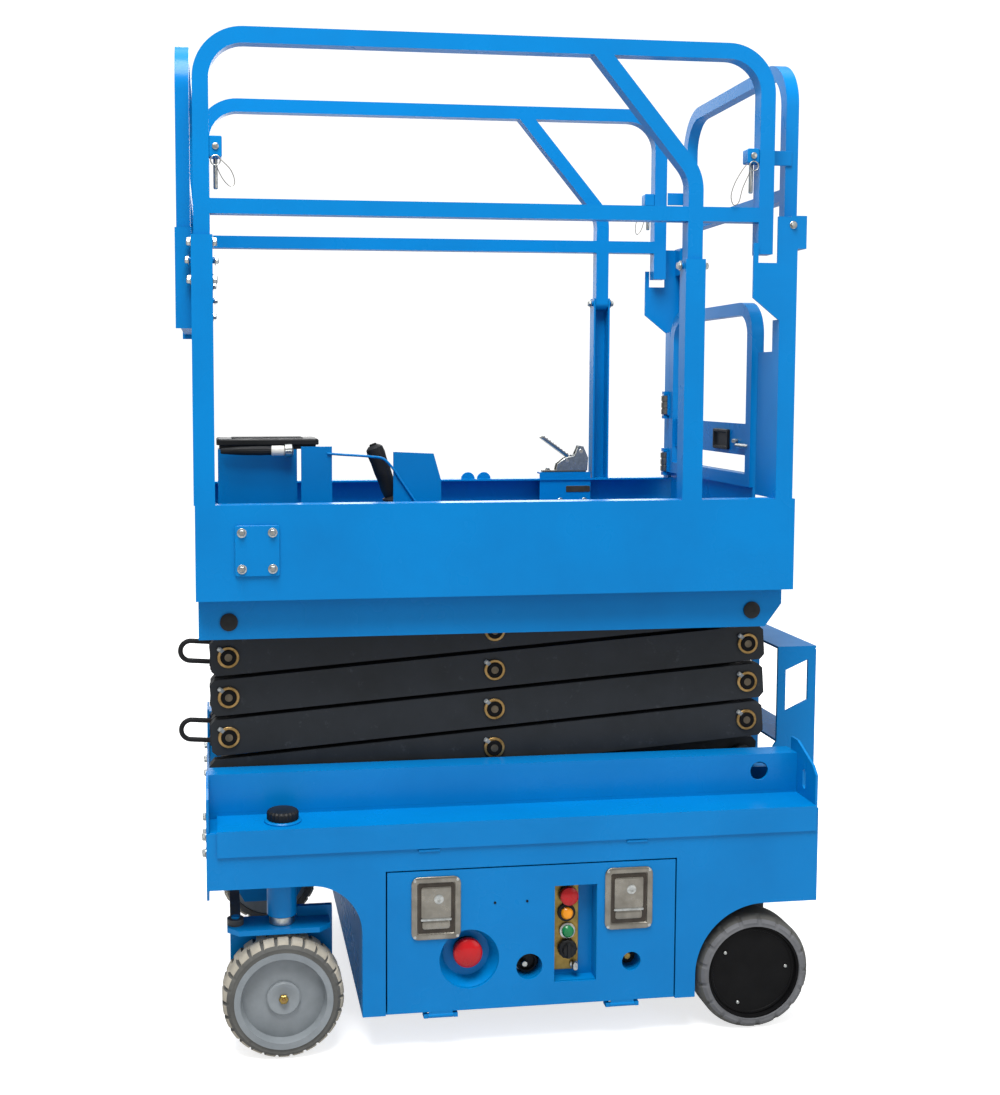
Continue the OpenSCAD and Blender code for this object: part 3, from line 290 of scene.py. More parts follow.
@dataclass
class Form:
    """A closed shape in arrays.

    Attributes:
        points: Corner points, in mm.
        quads: Four corner numbers of each side face.
        ends: Corner numbers of each flat end face.
        tags: Number of each side face's finish.
    """

    points: np.ndarray
    quads: np.ndarray
    ends: list[np.ndarray] = field(default_factory=list)
    tags: np.ndarray | None = None

    def tag_list(self) -> np.ndarray:
        """Finish numbers of the side faces, all 0 where none were given."""
        return np.zeros(len(self.quads), int) if self.tags is None else self.tags

    def turned(self, axis: str, angle: float) -> Form:
        """The form turned about X, Y or Z by an angle in degrees."""
        matrix = np.array(Matrix.Rotation(math.radians(angle), 3, axis))
        return Form(self.points @ matrix.T, self.quads, self.ends, self.tags)

    def put(self, x: float, y: float, z: float, face: Face = Face.TOP) -> Form:
        """The form facing a given way, with its own origin at a place."""
        matrix = np.array(face.value, float)
        return Form(self.points @ matrix.T + (x, y, z), self.quads, self.ends, self.tags)

    def mirrored(self) -> Form:
        """The form mirrored to the other side of the machine, its faces still outwards."""
        ends = [end[::-1] for end in self.ends]
        return Form(self.points * (1.0, -1.0, 1.0), self.quads[:, ::-1], ends, self.tags)

    def both_sides(self) -> Form:
        """The form and its mirror image as one."""
        return self + self.mirrored()

    def repeated(self, places: Iterable[Spot]) -> Form:
        """Copies of the form moved to each place.

        Args:
            places: How far each copy is moved.

        Returns:
            All copies as one form.
        """
        spots = np.array(list(places), float)
        shift = np.arange(len(spots)) * len(self.points)
        points = (spots[:, None, :] + self.points[None]).reshape(-1, 3)
        quads = (self.quads[None] + shift[:, None, None]).reshape(-1, 4)
        ends = [end + by for by in shift for end in self.ends]
        return Form(points, quads, ends, np.tile(self.tag_list(), len(spots)))

    def __add__(self, other: Form) -> Form:
        """Both forms as one.

        Args:
            other: The second form.

        Returns:
            One form, the first one's points and faces before the second one's.
        """
        by = len(self.points)
        ends = self.ends + [end + by for end in other.ends]
        return Form(np.vstack([self.points, other.points]), np.vstack([self.quads, other.quads + by]), ends,
                    np.concatenate([self.tag_list(), other.tag_list()]))


Parts = list[tuple[Form, Surface]]


def put_all(parts: Parts, x: float, y: float, z: float, face: Face = Face.TOP) -> Parts:
    """Forms with their finishes, facing a given way with their origin at a place."""
    return [(form.put(x, y, z, face), paint) for form, paint in parts]


def mirror_all(parts: Parts) -> Parts:
    """Forms with their finishes, mirrored to the other side of the machine."""
    return [(form.mirrored(), paint) for form, paint in parts]


def skin(rings: np.ndarray, closed: bool = False) -> Form:
    """Joins rings of points into a skin.

    Each face joins a point, the next one on its ring and the two above them.

    Args:
        rings: Points, as rows by count by 3, each ring counter-clockwise seen from the last one's side.
        closed: Whether the last ring joins the first one, or both get a flat end.

    Returns:
        The closed form.
    """
    rows, count, _ = rings.shape
    index = np.arange(rows * count).reshape(rows, count)
    above = np.roll(index, -1, axis=0)
    quads = np.stack([index, np.roll(index, -1, axis=1), np.roll(above, -1, axis=1), above], axis=-1)
    ends = [] if closed else [index[0, ::-1], index[-1]]
    used = quads if closed else quads[:-1]
    return Form(rings.reshape(-1, 3).astype(float), used.reshape(-1, 4), ends)


def lathe(profile: Iterable[Pair], sides: int = 32, wave: float = 0.0, waves: int = 0) -> Form:
    """Turns a profile about Z.

    The radius at an angle is the profile's, plus wave times the cosine of waves times the angle.

    Args:
        profile: Radius and height, from the lower end round the outside to the upper end.
        sides: Points round the axis.
        wave: Height of ribs round the outside.
        waves: Number of the ribs.

    Returns:
        The turned form.
    """
    shape = np.array(list(profile), float)
    angle = np.arange(sides) * 2 * np.pi / sides
    radius = shape[:, :1] * (1 + wave / shape[:, 0].max() * np.cos(waves * angle))[None]
    height = np.broadcast_to(shape[:, 1:], radius.shape)
    return skin(np.stack([radius * np.cos(angle), radius * np.sin(angle), height], axis=-1))


def rounded(width: float, height: float, radius: float, steps: int = 5) -> np.ndarray:
    """Rounded rectangle about the origin: four quarter circles, one for each corner.

    Args:
        width: Size along X.
        height: Size along Y.
        radius: Radius of the corners.
        steps: Points on each corner.

    Returns:
        X and Y of the outline, counter-clockwise.
    """
    angle = np.linspace(0, np.pi / 2, steps)
    turn = np.arange(4)[:, None] * np.pi / 2 + angle[None]
    corner = np.array([(1, 1), (-1, 1), (-1, -1), (1, -1)]) * (width / 2 - radius, height / 2 - radius)
    return (corner[:, None, :] + radius * np.stack([np.cos(turn), np.sin(turn)], axis=-1)).reshape(-1, 2)


def raised(outline: np.ndarray, level: float) -> np.ndarray:
    """An outline of X and Y as points at one height."""
    return np.column_stack([outline, np.full(len(outline), level)])


def pan(width: float, height: float, radius: float, steps: Iterable[Pair]) -> Form:
    """Rounded rectangles stacked from the lower face to the upper one.

    Args:
        width: Size along X.
        height: Size along Y.
        radius: Radius of the corners.
        steps: Inset and height of each rectangle.

    Returns:
        The stacked form.
    """
    return skin(np.stack([
        raised(rounded(width - 2 * inset, height - 2 * inset, max(radius - inset, LEAST_CORNER)), level)
        for inset, level in steps]))


def plate(width: float, height: float, thick: float, radius: float = 3.0, edge: float = 0.8) -> Form:
    """Rounded plate on the XY plane with broken edges."""
    return pan(width, height, radius, [(edge, 0), (0, edge), (0, thick - edge), (edge, thick)])


def inset_outline(outline: np.ndarray, by: float) -> np.ndarray:
    """Moves each corner of an outline inwards along the sum of its two sides' normals.

    Args:
        outline: X and Y of the corners, counter-clockwise.
        by: Distance that each side moves.

    Returns:
        X and Y of the moved corners.
    """
    side = np.roll(outline, -1, axis=0) - outline
    side = side / np.linalg.norm(side, axis=1, keepdims=True)
    normal = np.stack([-side[:, 1], side[:, 0]], axis=-1)
    before = np.roll(normal, 1, axis=0)
    share = 1 + np.sum(normal * before, axis=1, keepdims=True)
    return outline + by * (normal + before) / share


def slab(outline: Iterable[Pair], low: float, high: float, edge: float = 0.8) -> Form:
    """Any outline drawn along Z, with broken edges.

    Args:
        outline: X and Y of the corners, counter-clockwise.
        low: Lower face.
        high: Upper face.
        edge: Size of the broken edges.

    Returns:
        The drawn form.
    """
    shape = np.array(list(outline), float)
    small = inset_outline(shape, edge)
    return skin(np.stack([raised(small, low), raised(shape, low + edge), raised(shape, high - edge),
                          raised(small, high)]))


def smooth_path(points: Iterable[Spot], count: int) -> np.ndarray:
    """Smooth curve through points: on each stretch a cubic blends the stretch with its neighbours' slopes.

    Args:
        points: Points that the curve passes through.
        count: Points on the curve.

    Returns:
        Points on the curve.
    """
    knots = np.array(list(points), float)
    slope = np.gradient(knots, axis=0)
    place = np.linspace(0, len(knots) - 1, count)
    i = np.minimum(place.astype(int), len(knots) - 2)
    t = (place - i)[:, None]
    a, b, sa, sb = knots[i], knots[i + 1], slope[i], slope[i + 1]
    return ((2 * t**3 - 3 * t**2 + 1) * a + (t**3 - 2 * t**2 + t) * sa
            + (-2 * t**3 + 3 * t**2) * b + (t**3 - t**2) * sb)


def tube(path: np.ndarray, radius: float, sides: int = 10) -> Form:
    """Round section carried along a path, its frame kept square to the path's own plane.

    Args:
        path: Points of the centreline.
        radius: Radius of the section.
        sides: Points round the section.

    Returns:
        The tube, with flat ends.
    """
    along = np.gradient(path, axis=0)
    along /= np.linalg.norm(along, axis=1, keepdims=True)
    flat = np.linalg.svd(path - path.mean(axis=0))[2][2]
    out = np.cross(along, flat)
    out /= np.linalg.norm(out, axis=1, keepdims=True)
    third = np.cross(along, out)
    angle = np.arange(sides) * 2 * np.pi / sides
    ring = out[:, None] * np.cos(angle)[None, :, None] + third[:, None] * np.sin(angle)[None, :, None]
    return skin(path[:, None] + radius * ring)


def hex_bolt(r: float) -> Form:
    """Hexagon bolt head on a round washer, standing on the XY plane.

    Args:
        r: Radius that the head and the washer are worked out from.

    Returns:
        The bolt head with its washer.
    """
    washer = lathe([(r * 1.45, 0), (r * 1.5, 0.4), (r * 1.5, 1.2), (r * 1.4, 1.6)], 24)
    head = lathe([(r, 1.6), (r * 1.1, 2.0), (r * 1.1, r * 0.9), (r * 0.85, r * 1.15)], 6)
    return washer + head


def length_of(path: np.ndarray) -> float:
    """Length of a path, in its own unit."""
    return float(np.linalg.norm(np.diff(path, axis=0), axis=1).sum())


def to_frame(points: np.ndarray) -> np.ndarray:
    """Points in mm from the chassis middle, as metres in the frame."""
    return (points - (MID_X, 0.0, 0.0)) * MM


class Workshop:
    """Keeps one material for each finish and gives finished pieces to the frame."""

    def __init__(self) -> None:
        """Starts with no material made."""
        self.made: dict[Surface, bpy.types.Material] = {}

    def paint(self, surface: Surface) -> bpy.types.Material:
        """Gives a finish's material, which is made once.

        Args:
            surface: The finish.

        Returns:
            Its material.
        """
        if surface not in self.made:
            self.made[surface] = surface.value.build()
        return self.made[surface]

    def dress_frame(self) -> None:
        """Gives every CAD node the finish of its record slot."""
        for entry in frame["record"]["subparts"]:
            shown = frame["nodes"][entry["node"]]
            shown.data.materials.clear()
            shown.data.materials.append(self.paint(SLOT_SURFACE[entry["material_slot"]]))

    def piece(self, name: str, body: str, parts: Iterable[tuple[Form, Surface | tuple[Surface, ...]]],
              replaces: Iterable[str] = ()) -> bpy.types.Object:
        """Makes one mesh piece of several forms and lets it ride on a body.

        Args:
            name: Name of the piece.
            body: CAD body that it moves with.
            parts: Forms, each with its finish, or with one finish for each of its tags.
            replaces: CAD nodes that it stands for.

        Returns:
            The new object.
        """
        order: dict[Surface, int] = {}
        points, faces, marks, count = [], [], [], 0
        for form, finish in parts:
            wanted = finish if isinstance(finish, tuple) else (finish,)
            numbers = np.array([order.setdefault(one, len(order)) for one in wanted])
            points.append(form.points)
            faces += (form.quads + count).tolist() + [(end + count).tolist() for end in form.ends]
            marks.append(np.concatenate([numbers[form.tag_list()], np.full(len(form.ends), numbers[0])]))
            count += len(form.points)
        mesh = bpy.data.meshes.new(name)
        mesh.from_pydata(to_frame(np.vstack(points)).tolist(), [], faces)
        for surface in order:
            mesh.materials.append(self.paint(surface))
        mesh.polygons.foreach_set("material_index", np.concatenate(marks).astype(np.int32))
        mesh.polygons.foreach_set("use_smooth", np.ones(len(faces), bool))
        mesh.set_sharp_from_angle(angle=math.radians(SHARP_ANGLE))
        mesh.update()
        shown = bpy.data.objects.new(name, mesh)
        bpy.context.scene.collection.objects.link(shown)
        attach(shown, body)
        if replaces:
            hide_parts(*replaces)
        LOG.info("made %s on %s", name, body)
        return shown

    def line(self, name: str, body: str, path: np.ndarray, radius: float, surface: Surface,
             replaces: Iterable[str] = (), sides: int = 10) -> bpy.types.Object:
        """Makes a cord of one round tube along a path in mm and logs its length.

        Args:
            name: Name of the piece.
            body: CAD body that it moves with.
            path: Points of its centreline, from the chassis middle.
            radius: Radius of the tube.
            surface: Its finish.
            replaces: CAD nodes that it stands for.
            sides: Sides of the tube.

        Returns:
            The new object.
        """
        shown = self.piece(name, body, [(tube(path, radius, sides), surface)], replaces)
        LOG.info("%s is %.0f mm long", name, length_of(path))
        return shown


@dataclass
class Cords:
    """Hose loops at the front of the scissor, and the thin lanyards of the rails' lock pins.

    Attributes:
        pin_x: X of the fixed pins.
        levels: Body, CAD node and height of each hose loop, at the inner arms' front pins.
        lean: Slope of an inner arm at rest, degrees.
        hose_y: Y of the hose loops.
        start: Place of a hose's ends along the arm.
        bend_at: Place of its bend's middle along the arm.
        bend: Radius of the bend.
        hose_r: Radius of a hose.
        wire_r: Radius of a lanyard.
        front: Points of the lanyard at the near rail's front lock.
        rear: Points of the lanyard at its rear lock.
        far: Points of the lanyard at the far rail's lock.
    """

    pin_x: float = -560.0
    levels: tuple[tuple[str, str, float], ...] = (
        ("inner_1", "hose_low", 595.0), ("inner_3", "hose_high", 756.0))
    lean: float = math.degrees(math.atan2(80.5, 1075.0))
    hose_y: float = -172.0
    start: float = -36.2
    bend_at: float = -75.2
    bend: float = 20.0
    hose_r: float = 5.0
    wire_r: float = 0.8
    front: tuple[Spot, ...] = (
        (-577, -331.5, 1712), (-573, -333, 1694), (-562, -334, 1672), (-549, -334, 1660), (-541, -333, 1668),
        (-548, -332, 1690), (-566, -331.5, 1709))
    rear: tuple[Spot, ...] = (
        (449, -331.5, 1722), (438, -333, 1708), (424, -334, 1684), (417, -334, 1660), (422, -334, 1643),
        (433, -333, 1648), (441, -332.5, 1676), (455, -331.5, 1706))
    far: tuple[Spot, ...] = (
        (452, 299.0, 1724), (440, 297.5, 1706), (428, 297, 1678), (430, 297, 1656), (441, 297.5, 1664),
        (450, 298, 1690), (457, 299.0, 1710))

    def hose_path(self, level: float) -> np.ndarray:
        """Hose loop: straight out along the arm, half a circle and straight back, turned by the arm's slope.

        Args:
            level: Height of the pin that it leaves from.

        Returns:
            Points of the centreline.
        """
        run = np.linspace(self.start, self.bend_at, 8)[:-1]
        angle = np.linspace(np.pi / 2, 3 * np.pi / 2, 19)
        side = np.full(len(run), self.bend)
        along = np.concatenate([run, self.bend_at + self.bend * np.cos(angle), run[::-1]])
        up = np.concatenate([side, self.bend * np.sin(angle), -side])
        slope = math.radians(self.lean)
        x = self.pin_x + along * math.cos(slope) + up * math.sin(slope)
        z = level - along * math.sin(slope) + up * math.cos(slope)
        return np.column_stack([x, np.full(len(x), self.hose_y), z])

    def build(self, shop: Workshop) -> None:
        """Lays both hose loops and three lanyards.

        Args:
            shop: Workshop that makes the pieces.
        """
        for body, node, level in self.levels:
            shop.line(f"{node}_loop", body, self.hose_path(level), self.hose_r, Surface.HOSE,
                      [node], 16)
        for name, body, knots in (("lanyard_front", "rail_near", self.front),
                                  ("lanyard_rear", "rail_near", self.rear),
                                  ("lanyard_far", "rail_far", self.far)):
            shop.line(name, body, smooth_path(knots, 34), self.wire_r, Surface.STAINLESS,
                      sides=8)


@dataclass
class Wheels:
    """Tyres with their moulded tread, and what is on the hubs.

    Attributes:
        front_x: X of the front axle.
        rear_x: X of the rear axle.
        track: Distance of a tyre's middle from the machine's middle.
        radius: Outer radius of a tyre.
        lugs: Lugs round a front tyre.
        notches: Notches round a rear tyre's shoulder.
        groove: Depth of the grooves.
        notch: How far a notch sinks the shoulder's face.
        screw_r: Radius of the rear disc's circle of screws.
        screw_turns: Angles of those screws.
    """

    front_x: float = -462.0
    rear_x: float = 480.0
    track: float = 335.0
    radius: float = 117.0
    lugs: int = 26
    notches: int = 17
    groove: float = 4.0
    notch: float = 2.2
    screw_r: float = 70.0
    screw_turns: tuple[float, ...] = (145.0, 5.0, 245.0)

    def tyre(self, front: bool) -> Form:
        """One tyre about Z, its outer face up.

        A closed section is turned about the axis. At an angle a, a groove lies where the cosine of the lug
        count times a is high. On a front tyre the inner half is turned by half a lug, so the grooves of both
        halves stand in zig-zag.

        Args:
            front: Whether it is a lugged front tyre or a plain rear one.

        Returns:
            The tyre, tagged 0 on the tread and 1 on its walls and, as painted shade, in a front tyre's
            grooves.
        """
        rim, top = 95.3, self.radius
        section = np.array([
            (rim, -38), (103, -38), (109.5, -33.5), (114, -29), (top, -22), (top, -14), (top, -6),
            (top, -1.5), (top, 1.5), (top, 6), (top, 14), (top, 22), (114, 29), (109.5, 33.5), (103, 38),
            (99, 37.2), (rim, 38)], float)
        if front:
            count, samples, starts, fades, sink = self.lugs, 14, 0.7, 0.14, 0.0
            deep = np.array([0, 0, .5, .9, 1, 1, 1, 0, 0, 1, 1, 1, .9, .5, 0, 0, 0])
            half = np.where(section[:, 1] < 0, np.pi, 0.0)
        else:
            count, samples, starts, fades, sink = self.notches, 16, 0.8, 0.12, self.notch
            deep = np.array([0, 0, .3, .5, 0, 0, 0, 0, 0, 0, 0, 0, .5, .5, .2, 0, 0])
            half = np.zeros(len(section))
        angle = np.arange(count * samples) * 2 * np.pi / (count * samples)
        cut = np.clip((np.cos(count * angle[None] + half[:, None]) - starts) / fades, 0, 1)
        radius = section[:, :1] - self.groove * deep[:, None] * cut
        height = section[:, 1:] - sink * np.sign(section[:, 1:]) * (deep > 0)[:, None] * cut
        form = skin(np.stack([radius * np.cos(angle), radius * np.sin(angle), height], axis=-1), closed=True)
        tread = np.array([0, 0, 1, 1, 1, 1, 1, 1, 1, 1, 1, 1, 1, 0, 0, 0, 0])
        # Tag 1 gives the walls the darker finish, and gives it to the deep middle of each front groove as
        # painted shade.
        walls_and_groove_shade = (tread[:, None] == 0) | (front & (cut > 0.6) & (deep[:, None] > 0.6))
        form.tags = walls_and_groove_shade.astype(int).ravel()
        return form

    def front_hub(self) -> Parts:
        """Hub ring with a dust cap, a hexagon nut and a grease nipple in the dish of a front rim.

        Returns:
            Forms about Z with their finishes, the outer face up.
        """
        ring = lathe([(31.5, 18), (33, 19), (33, 25), (30, 27.5), (22, 27.5), (19, 26.3)], 40)
        nut = lathe([(8.5, 26), (9.5, 26.6), (9.5, 31), (8, 32.4)], 6)
        nipple = lathe([(3, 32), (3.6, 33), (3.6, 35), (2, 36), (2.8, 37), (1, 37.8)], 14)
        band = lathe([(80, 17.5), (81.5, 18), (81.5, 19.5), (80, 20)], 64)
        return [(ring, Surface.RIM), (nut, Surface.YELLOW_ZINC), (nipple, Surface.BRONZE),
                (band, Surface.RIM)]

    def rear_hub(self) -> Parts:
        """Three socket screws and a shallow pressed ring on a rear disc.

        Returns:
            Forms about Z with their finishes, the outer face up.
        """
        screw = lathe([(3, 25.4), (3.4, 26.4), (3.4, 28), (2.6, 28.8), (1.6, 28.8), (1.4, 28)], 18)
        places = [(self.screw_r * math.cos(a), self.screw_r * math.sin(a), 0.0)
                  for a in np.radians(self.screw_turns)]
        ring = lathe([(88, 25.4), (87, 27.4), (83, 27.4), (82, 25.4)], 72)
        return [(screw.repeated(places), Surface.ZINC), (ring, Surface.HUB)]

    def build(self, shop: Workshop) -> None:
        """Fits all four wheels.

        Args:
            shop: Workshop that makes the pieces.
        """
        pale = (Surface.TYRE_PALE, Surface.TYRE_DARK_AND_GROOVE_SHADE)
        grey = (Surface.TYRE_DARK_AND_GROOVE_SHADE, Surface.TYRE_GREY)
        for end, x, surfaces, hub, hub_slot in (("front", self.front_x, pale, self.front_hub(), "rim_grey"),
                                                ("rear", self.rear_x, grey, self.rear_hub(), "hub_black")):
            tyre = self.tyre(end == "front")
            for side, y, face in (("near", -self.track, Face.NEAR), ("far", self.track, Face.FAR)):
                body = f"wheel_{end}_{side}"
                shop.piece(f"tyre_{end}_{side}_tread", body, [(tyre.put(x, y, self.radius, face), surfaces)],
                           [f"tyre_{end}_{side}"])
                shop.piece(f"hub_{end}_{side}", body, put_all(hub, x, y, self.radius, face))


@dataclass
class DoorFittings:
    """Paddle latches on both doors.

    Attributes:
        face_y: Distance of a door's outer face from the machine's middle.
        places: X of the latches.
        height: Z of their middle.
    """

    face_y: float = 376.0
    places: Pair = (-168.0, 216.0)
    height: float = 287.0

    def latch(self) -> Parts:
        """One latch: a tray with a rolled rim, painted shade round a sunk paddle with a lock, a lip and
        rivets.

        Returns:
            Forms on the XY plane with their finishes.
        """
        tray = pan(96.4, 124.4, 14, [(0.5, 0), (0, 0.5), (0, 2.2), (1.4, 3.5), (3.6, 3.9), (8.5, 3.9),
                                     (11, 3.3), (12.4, 1.0)])
        # Dark sheet under the paddle: painted shade that shows in the gap round it.
        gap_shade = pan(71, 99, 3, [(0, 0.9), (0, 1.15), (1, 1.2)])
        paddle = pan(58, 62, 4, [(0, 1.0), (0, 2.6), (0.8, 3.1), (4, 3.3), (8, 3.1)]).put(0, 11, 0)
        lock = lathe([(9.5, 3.0), (9.5, 3.5), (8.6, 3.9), (4.5, 3.9), (3.8, 3.5)], 28).put(5, 18, 0)
        lip = pan(54, 17, 5, [(0, 1.0), (0, 2.2), (1.5, 3.2), (5, 3.7)]).put(0, -33, 0)
        # Bright zinc strip below the paddle, painted as the highlight on its lower curl.
        bar = pan(60, 5, 2, [(0, 1.0), (0, 2.8), (0.8, 3.3)]).put(0, -22.5, 0)
        rivet = lathe([(3.6, 3.5), (3.4, 3.8), (2.0, 3.97)], 16)
        rivets = rivet.repeated([(x, y, 0.0) for x in (-41.5, 41.5) for y in (-55.5, 55.5)])
        return [(tray, Surface.STAINLESS), (gap_shade, Surface.PAINTED_SHADE), (paddle, Surface.STAINLESS),
                (lock, Surface.ZINC), (lip, Surface.STAINLESS), (bar, Surface.ZINC), (rivets, Surface.ZINC)]

    def build(self, shop: Workshop) -> None:
        """Fits two latches to each door.

        Args:
            shop: Workshop that makes the pieces.
        """
        first, second = (put_all(self.latch(), x, -self.face_y, self.height, Face.NEAR) for x in self.places)
        near = first + second
        shop.piece("latches_near_pressed", "door_near", near, ["latches_near"])
        shop.piece("latches_far_pressed", "door_far", mirror_all(near), ["latches_far"])


@dataclass
class GroundControls:
    """Stop button, switches and connectors behind the near door's openings.

    Attributes:
        plate_y: Y of the control plate's outer face.
        stop: X and Z of the stop button.
        column: X of the column of switches.
        socket: X and Z of the charger socket.
        plug: X and Z of the small plug.
    """

    plate_y: float = -342.0
    stop: Pair = (-102.3, 187.0)
    column: float = 100.0
    socket: Pair = (17.1, 159.0)
    plug: Pair = (223.2, 158.0)

    def on_plate(self, parts: Parts, place: Pair) -> Parts:
        """Forms set on the control plate, at X and Z."""
        return put_all(parts, place[0], self.plate_y, place[1], Face.NEAR)

    def stop_button(self) -> Parts:
        """Red mushroom head on a black collar.

        Returns:
            Placed forms with their finishes.
        """
        collar = lathe([(25, 0), (27, 1.5), (27, 8), (24, 11), (16, 12)], 40)
        head = lathe([(15, 8), (26, 9.5), (29, 13), (29.4, 18), (28, 23), (23, 27), (14, 29.6), (4, 30.4)],
                     48)
        return self.on_plate([(collar, Surface.PLASTIC), (head, Surface.RED)], self.stop)

    def switches(self) -> Parts:
        """Yellow-zinc plate with a red button, an amber and a green lamp, a black knob and a key.

        Returns:
            Placed forms with their finishes.
        """
        base = plate(52, 176, 4, 3).put(-3, 2, 0)
        bezel = lathe([(17, 4), (18, 5), (18, 8), (15, 9)], 32)
        red = lathe([(14, 7), (18, 9), (19, 13), (18, 19), (13, 22), (2, 23)], 40)
        lens = lathe([(11, 4), (12, 6), (12, 13), (9, 16), (2, 17)], 32)
        ring = lathe([(14.5, 4), (16, 5), (16, 9), (14, 10), (12.4, 10)], 32)
        knob = lathe([(17, 4), (18.6, 6), (18.6, 13), (16, 15), (12, 15.4), (11, 22), (2, 23)], 36, 0.7, 12)
        grip = pan(9, 30, 4, [(0, 14), (0, 22), (1.5, 25)])
        key = pan(11, 17, 5, [(0, 6), (0, 18), (1.2, 20)])
        barrel = lathe([(7.5, 4), (8, 5), (8, 9), (6, 10)], 24)
        parts = [(base, Surface.YELLOW_ZINC, 0.0, 222), (bezel, Surface.PLASTIC, 0.0, 289),
                 (red, Surface.RED, 1.0, 289), (bezel, Surface.PLASTIC, -2.0, 253),
                 (lens, Surface.AMBER, -2.0, 253), (ring, Surface.ZINC, 0.0, 216),
                 (lens, Surface.GREEN, 0.0, 216), (knob, Surface.PLASTIC, 0.0, 180),
                 (grip, Surface.PLASTIC, 0.0, 180), (barrel, Surface.ZINC, 14.0, 147),
                 (key, Surface.ZINC, 14.0, 147)]
        return [one for form, paint, across, z in parts
                for one in self.on_plate([(form, paint)], (self.column + across, z))]

    def sockets(self) -> Parts:
        """Charger socket with a steel lid pin, and a small brass plug.

        Returns:
            Placed forms with their finishes.
        """
        cup = lathe([(25.5, 0.2), (25.5, 1), (22, 2), (21, 11), (17, 12), (15.5, 4)], 40)
        pin = lathe([(6, 4), (6.4, 5), (6.4, 15), (5, 17), (1, 17.4)], 24).put(-5, -2, 0)
        bolt = lathe([(4, 2), (4.4, 3), (4.4, 6), (2, 7)], 6).put(-17, -13, 0)
        plug = lathe([(15, 0.2), (16, 1), (16, 5), (13, 6)], 32)
        stem = lathe([(7, 5), (8, 6), (8, 12), (6, 14), (1, 14.4)], 24).put(-2, 2, 0)
        charger = [(cup, Surface.PLASTIC), (pin, Surface.ZINC), (bolt, Surface.ZINC)]
        small = [(plug, Surface.PLASTIC), (stem, Surface.YELLOW_ZINC)]
        return self.on_plate(charger, self.socket) + self.on_plate(small, self.plug)

    def build(self, shop: Workshop) -> None:
        """Fits the controls.

        Args:
            shop: Workshop that makes the pieces.
        """
        shop.piece("stop_mushroom", "chassis", self.stop_button(), ["stop_button"])
        shop.piece("switch_column", "chassis", self.switches(), ["switch_set"])
        shop.piece("charge_sockets", "chassis", self.sockets())


@dataclass
class ScissorFittings:
    """Dark sockets in the pivot pins' ends, with their keeper plates.

    Attributes:
        left: X of the fixed pins.
        right: X of the sliding pins.
        base: Height of the lowest pins.
        step: Height from one level to the next.
        face: Distance of the pins' ends from the machine's middle.
        first: The same for the lowest front pins.
        stages: Pairs of arms, one above the other.
    """

    left: float = -560.0
    right: float = 515.0
    base: float = 514.5
    step: float = 80.5
    face: float = 226.0
    first: float = 235.0
    stages: int = 4

    def cap(self) -> Parts:
        """Black pin end with a sunk hexagon, a bronze lip round it and a keeper tab held by a screw.

        Returns:
            Forms about Z with their finishes, the outer face up.
        """
        end = lathe([(15.4, -1.8), (15.4, 0.4), (14.6, 1.2), (8.5, 1.2), (7.8, 0.2), (7.0, -1.0)], 36)
        lip = lathe([(21.2, -5), (21.6, -2.2), (20.6, -1.2), (16.4, -1.2), (15.6, -1.8)], 40)
        tab = plate(15, 9, 2.4, 3).turned("Z", -35).put(-15, 15, -3.4)
        screw = hex_bolt(2.4).put(-18, 17, -1.2)
        return [(end, Surface.HUB), (lip, Surface.BRONZE), (tab, Surface.RIM), (screw, Surface.ZINC)]

    def build(self, shop: Workshop) -> None:
        """Fits the pin ends of all pairs of arms, on both sides.

        Args:
            shop: Workshop that makes the pieces.
        """
        middle = (self.left + self.right) / 2
        for k in range(self.stages):
            spots = [(self.left, k + 0.0, self.first if k == 0 else self.face), (middle, k + 0.5, self.face)]
            if k < self.stages - 1:
                spots.append((self.right, k + 1.0, self.face))
            near: Parts = []
            for x, level, y in spots:
                near += put_all(self.cap(), x, -y, self.base + self.step * level, Face.NEAR)
            shop.piece(f"pin_ends_{k + 1}", f"outer_{k + 1}", near + mirror_all(near))


